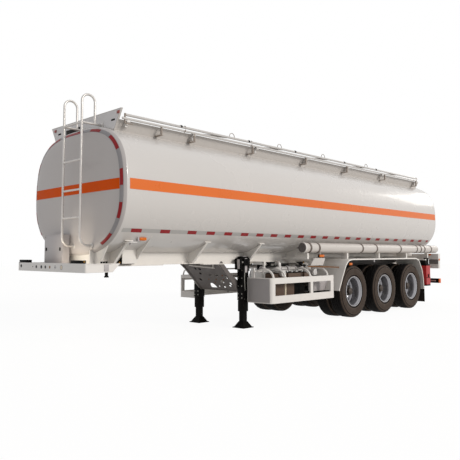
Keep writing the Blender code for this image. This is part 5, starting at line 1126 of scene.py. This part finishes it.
PHOTO_SIZE, FOCAL_PIXELS, CENTRE_X, CENTRE_Y = 460.0, 546.107, 228.771, 215.631
SENSOR = 36.0
CAMERA, CAMERA_TURN = (9.1489, 7.2314, 1.3107), (223.764, 4.017, -0.073)
PLAIN_WHITE, SKY, FLOOR = (1.0, 1.0, 1.0, 1.0), (0.94, 0.96, 1.0, 1.0), (0.62, 0.6, 0.57, 1.0)
SKY_STRENGTH, FLOOR_GLOW, FLOOR_GLOW_SHARE = 0.56, 1.1, 0.84


def make_view():
    """The photograph's camera, as it was solved from the axles, the tyres and the width."""
    scene = bpy.context.scene
    data = bpy.data.cameras.new("view")
    data.sensor_width = SENSOR
    data.lens = FOCAL_PIXELS * SENSOR / PHOTO_SIZE
    data.shift_x = (PHOTO_SIZE / 2 - CENTRE_X) / PHOTO_SIZE
    data.shift_y = (CENTRE_Y - PHOTO_SIZE / 2) / PHOTO_SIZE
    data.clip_end = 200.0
    camera = bpy.data.objects.new("view", data)
    scene.collection.objects.link(camera)
    yaw, pitch, roll = (math.radians(value) for value in CAMERA_TURN)
    ahead = Vector((math.cos(yaw) * math.cos(pitch), math.sin(yaw) * math.cos(pitch),
                    math.sin(pitch)))
    right = ahead.cross(Vector((0.0, 0.0, 1.0))).normalized()
    up = right.cross(ahead)
    turn = Matrix((right, up, -ahead)).transposed()
    camera.matrix_world = (Matrix.Translation(CAMERA) @ turn.to_4x4()
                           @ Matrix.Rotation(roll, 4, "Z"))
    scene.camera = camera
    scene.view_settings.view_transform = "Standard"


def camera_or_glossy(tree, path):
    """Whether a ray comes from the camera or off a glossy face."""
    return node(tree, "Math", {0: path.outputs["Is Camera Ray"], 1: path.outputs["Is Glossy Ray"]},
                operation="MAXIMUM")


def lamp(name, kind, energy, colour, place, target, size, size_y=None):
    """A light of a kind at a place, turned to a target. The sun's size is its angle."""
    data = bpy.data.lights.new(name, kind)
    data.energy = energy
    data.color = colour
    if kind == "AREA":
        data.shape = "RECTANGLE"
        data.size = size
        data.size_y = size_y or size
    else:
        data.angle = size
    made = bpy.data.objects.new(name, data)
    bpy.context.scene.collection.objects.link(made)
    made.location = place
    made.rotation_euler = (Vector(target) - Vector(place)).to_track_quat("-Z", "Y").to_euler()


def make_light():
    lamp("sun", "SUN", 1.68, (1.0, 0.955, 0.9), (-3.2, 12.0, 4.6), (0.0, 0.0, 0.0), 0.3)
    lamp("deck_bounce", "AREA", 5.0, (1.0, 0.9, 0.74), (5.09, 0.2, 1.1), (4.92, 0.2, 1.45), 0.3,
         1.2)
    lamp("rear_glow", "AREA", 130.0, (1.0, 0.96, 0.9), (-14.0, 2.8, 6.2), (-3.0, 1.0, 2.2), 5.0,
         2.6)
    world = bpy.context.scene.world or bpy.data.worlds.new("world")
    bpy.context.scene.world = world
    world.use_nodes = True
    tree = world.node_tree
    tree.nodes.clear()
    path = node(tree, "LightPath")
    seen = camera_or_glossy(tree, path)
    seen = node(tree, "Math", {0: seen.outputs[0], 1: path.outputs["Is Transmission Ray"]},
                operation="MAXIMUM")
    plain = node(tree, "Background", {"Color": SKY, "Strength": SKY_STRENGTH})
    white = node(tree, "Background", {"Color": PLAIN_WHITE, "Strength": 1.0})
    mix = node(tree, "MixShader", {0: seen.outputs[0], 1: plain.outputs[0], 2: white.outputs[0]})
    out = node(tree, "OutputWorld", {"Surface": mix.outputs[0]})
    out.is_active_output = True


def make_floor():
    bm = bmesh.new()
    bmesh.ops.create_grid(bm, x_segments=1, y_segments=1, size=60.0)
    mesh = bpy.data.meshes.new("floor")
    bm.to_mesh(mesh)
    bm.free()
    floor = bpy.data.objects.new("floor", mesh)
    bpy.context.scene.collection.objects.link(floor)
    floor.location = (0.0, 0.0, -0.001)
    made = bpy.data.materials.new("pale_floor")
    made.use_nodes = True
    tree = made.node_tree
    tree.nodes.clear()
    path = node(tree, "LightPath")
    seen = camera_or_glossy(tree, path)
    matt = node(tree, "BsdfDiffuse", {"Color": FLOOR})
    glow = node(tree, "Emission", {"Color": PLAIN_WHITE, "Strength": FLOOR_GLOW})
    share = node(tree, "Math", {0: seen.outputs[0], 1: FLOOR_GLOW_SHARE}, operation="MULTIPLY")
    mix = node(tree, "MixShader", {0: share.outputs[0], 1: matt.outputs[0], 2: glow.outputs[0]})
    node(tree, "OutputMaterial", {"Surface": mix.outputs[0]})
    floor.data.materials.append(made)


make_view()
make_light()
make_floor()
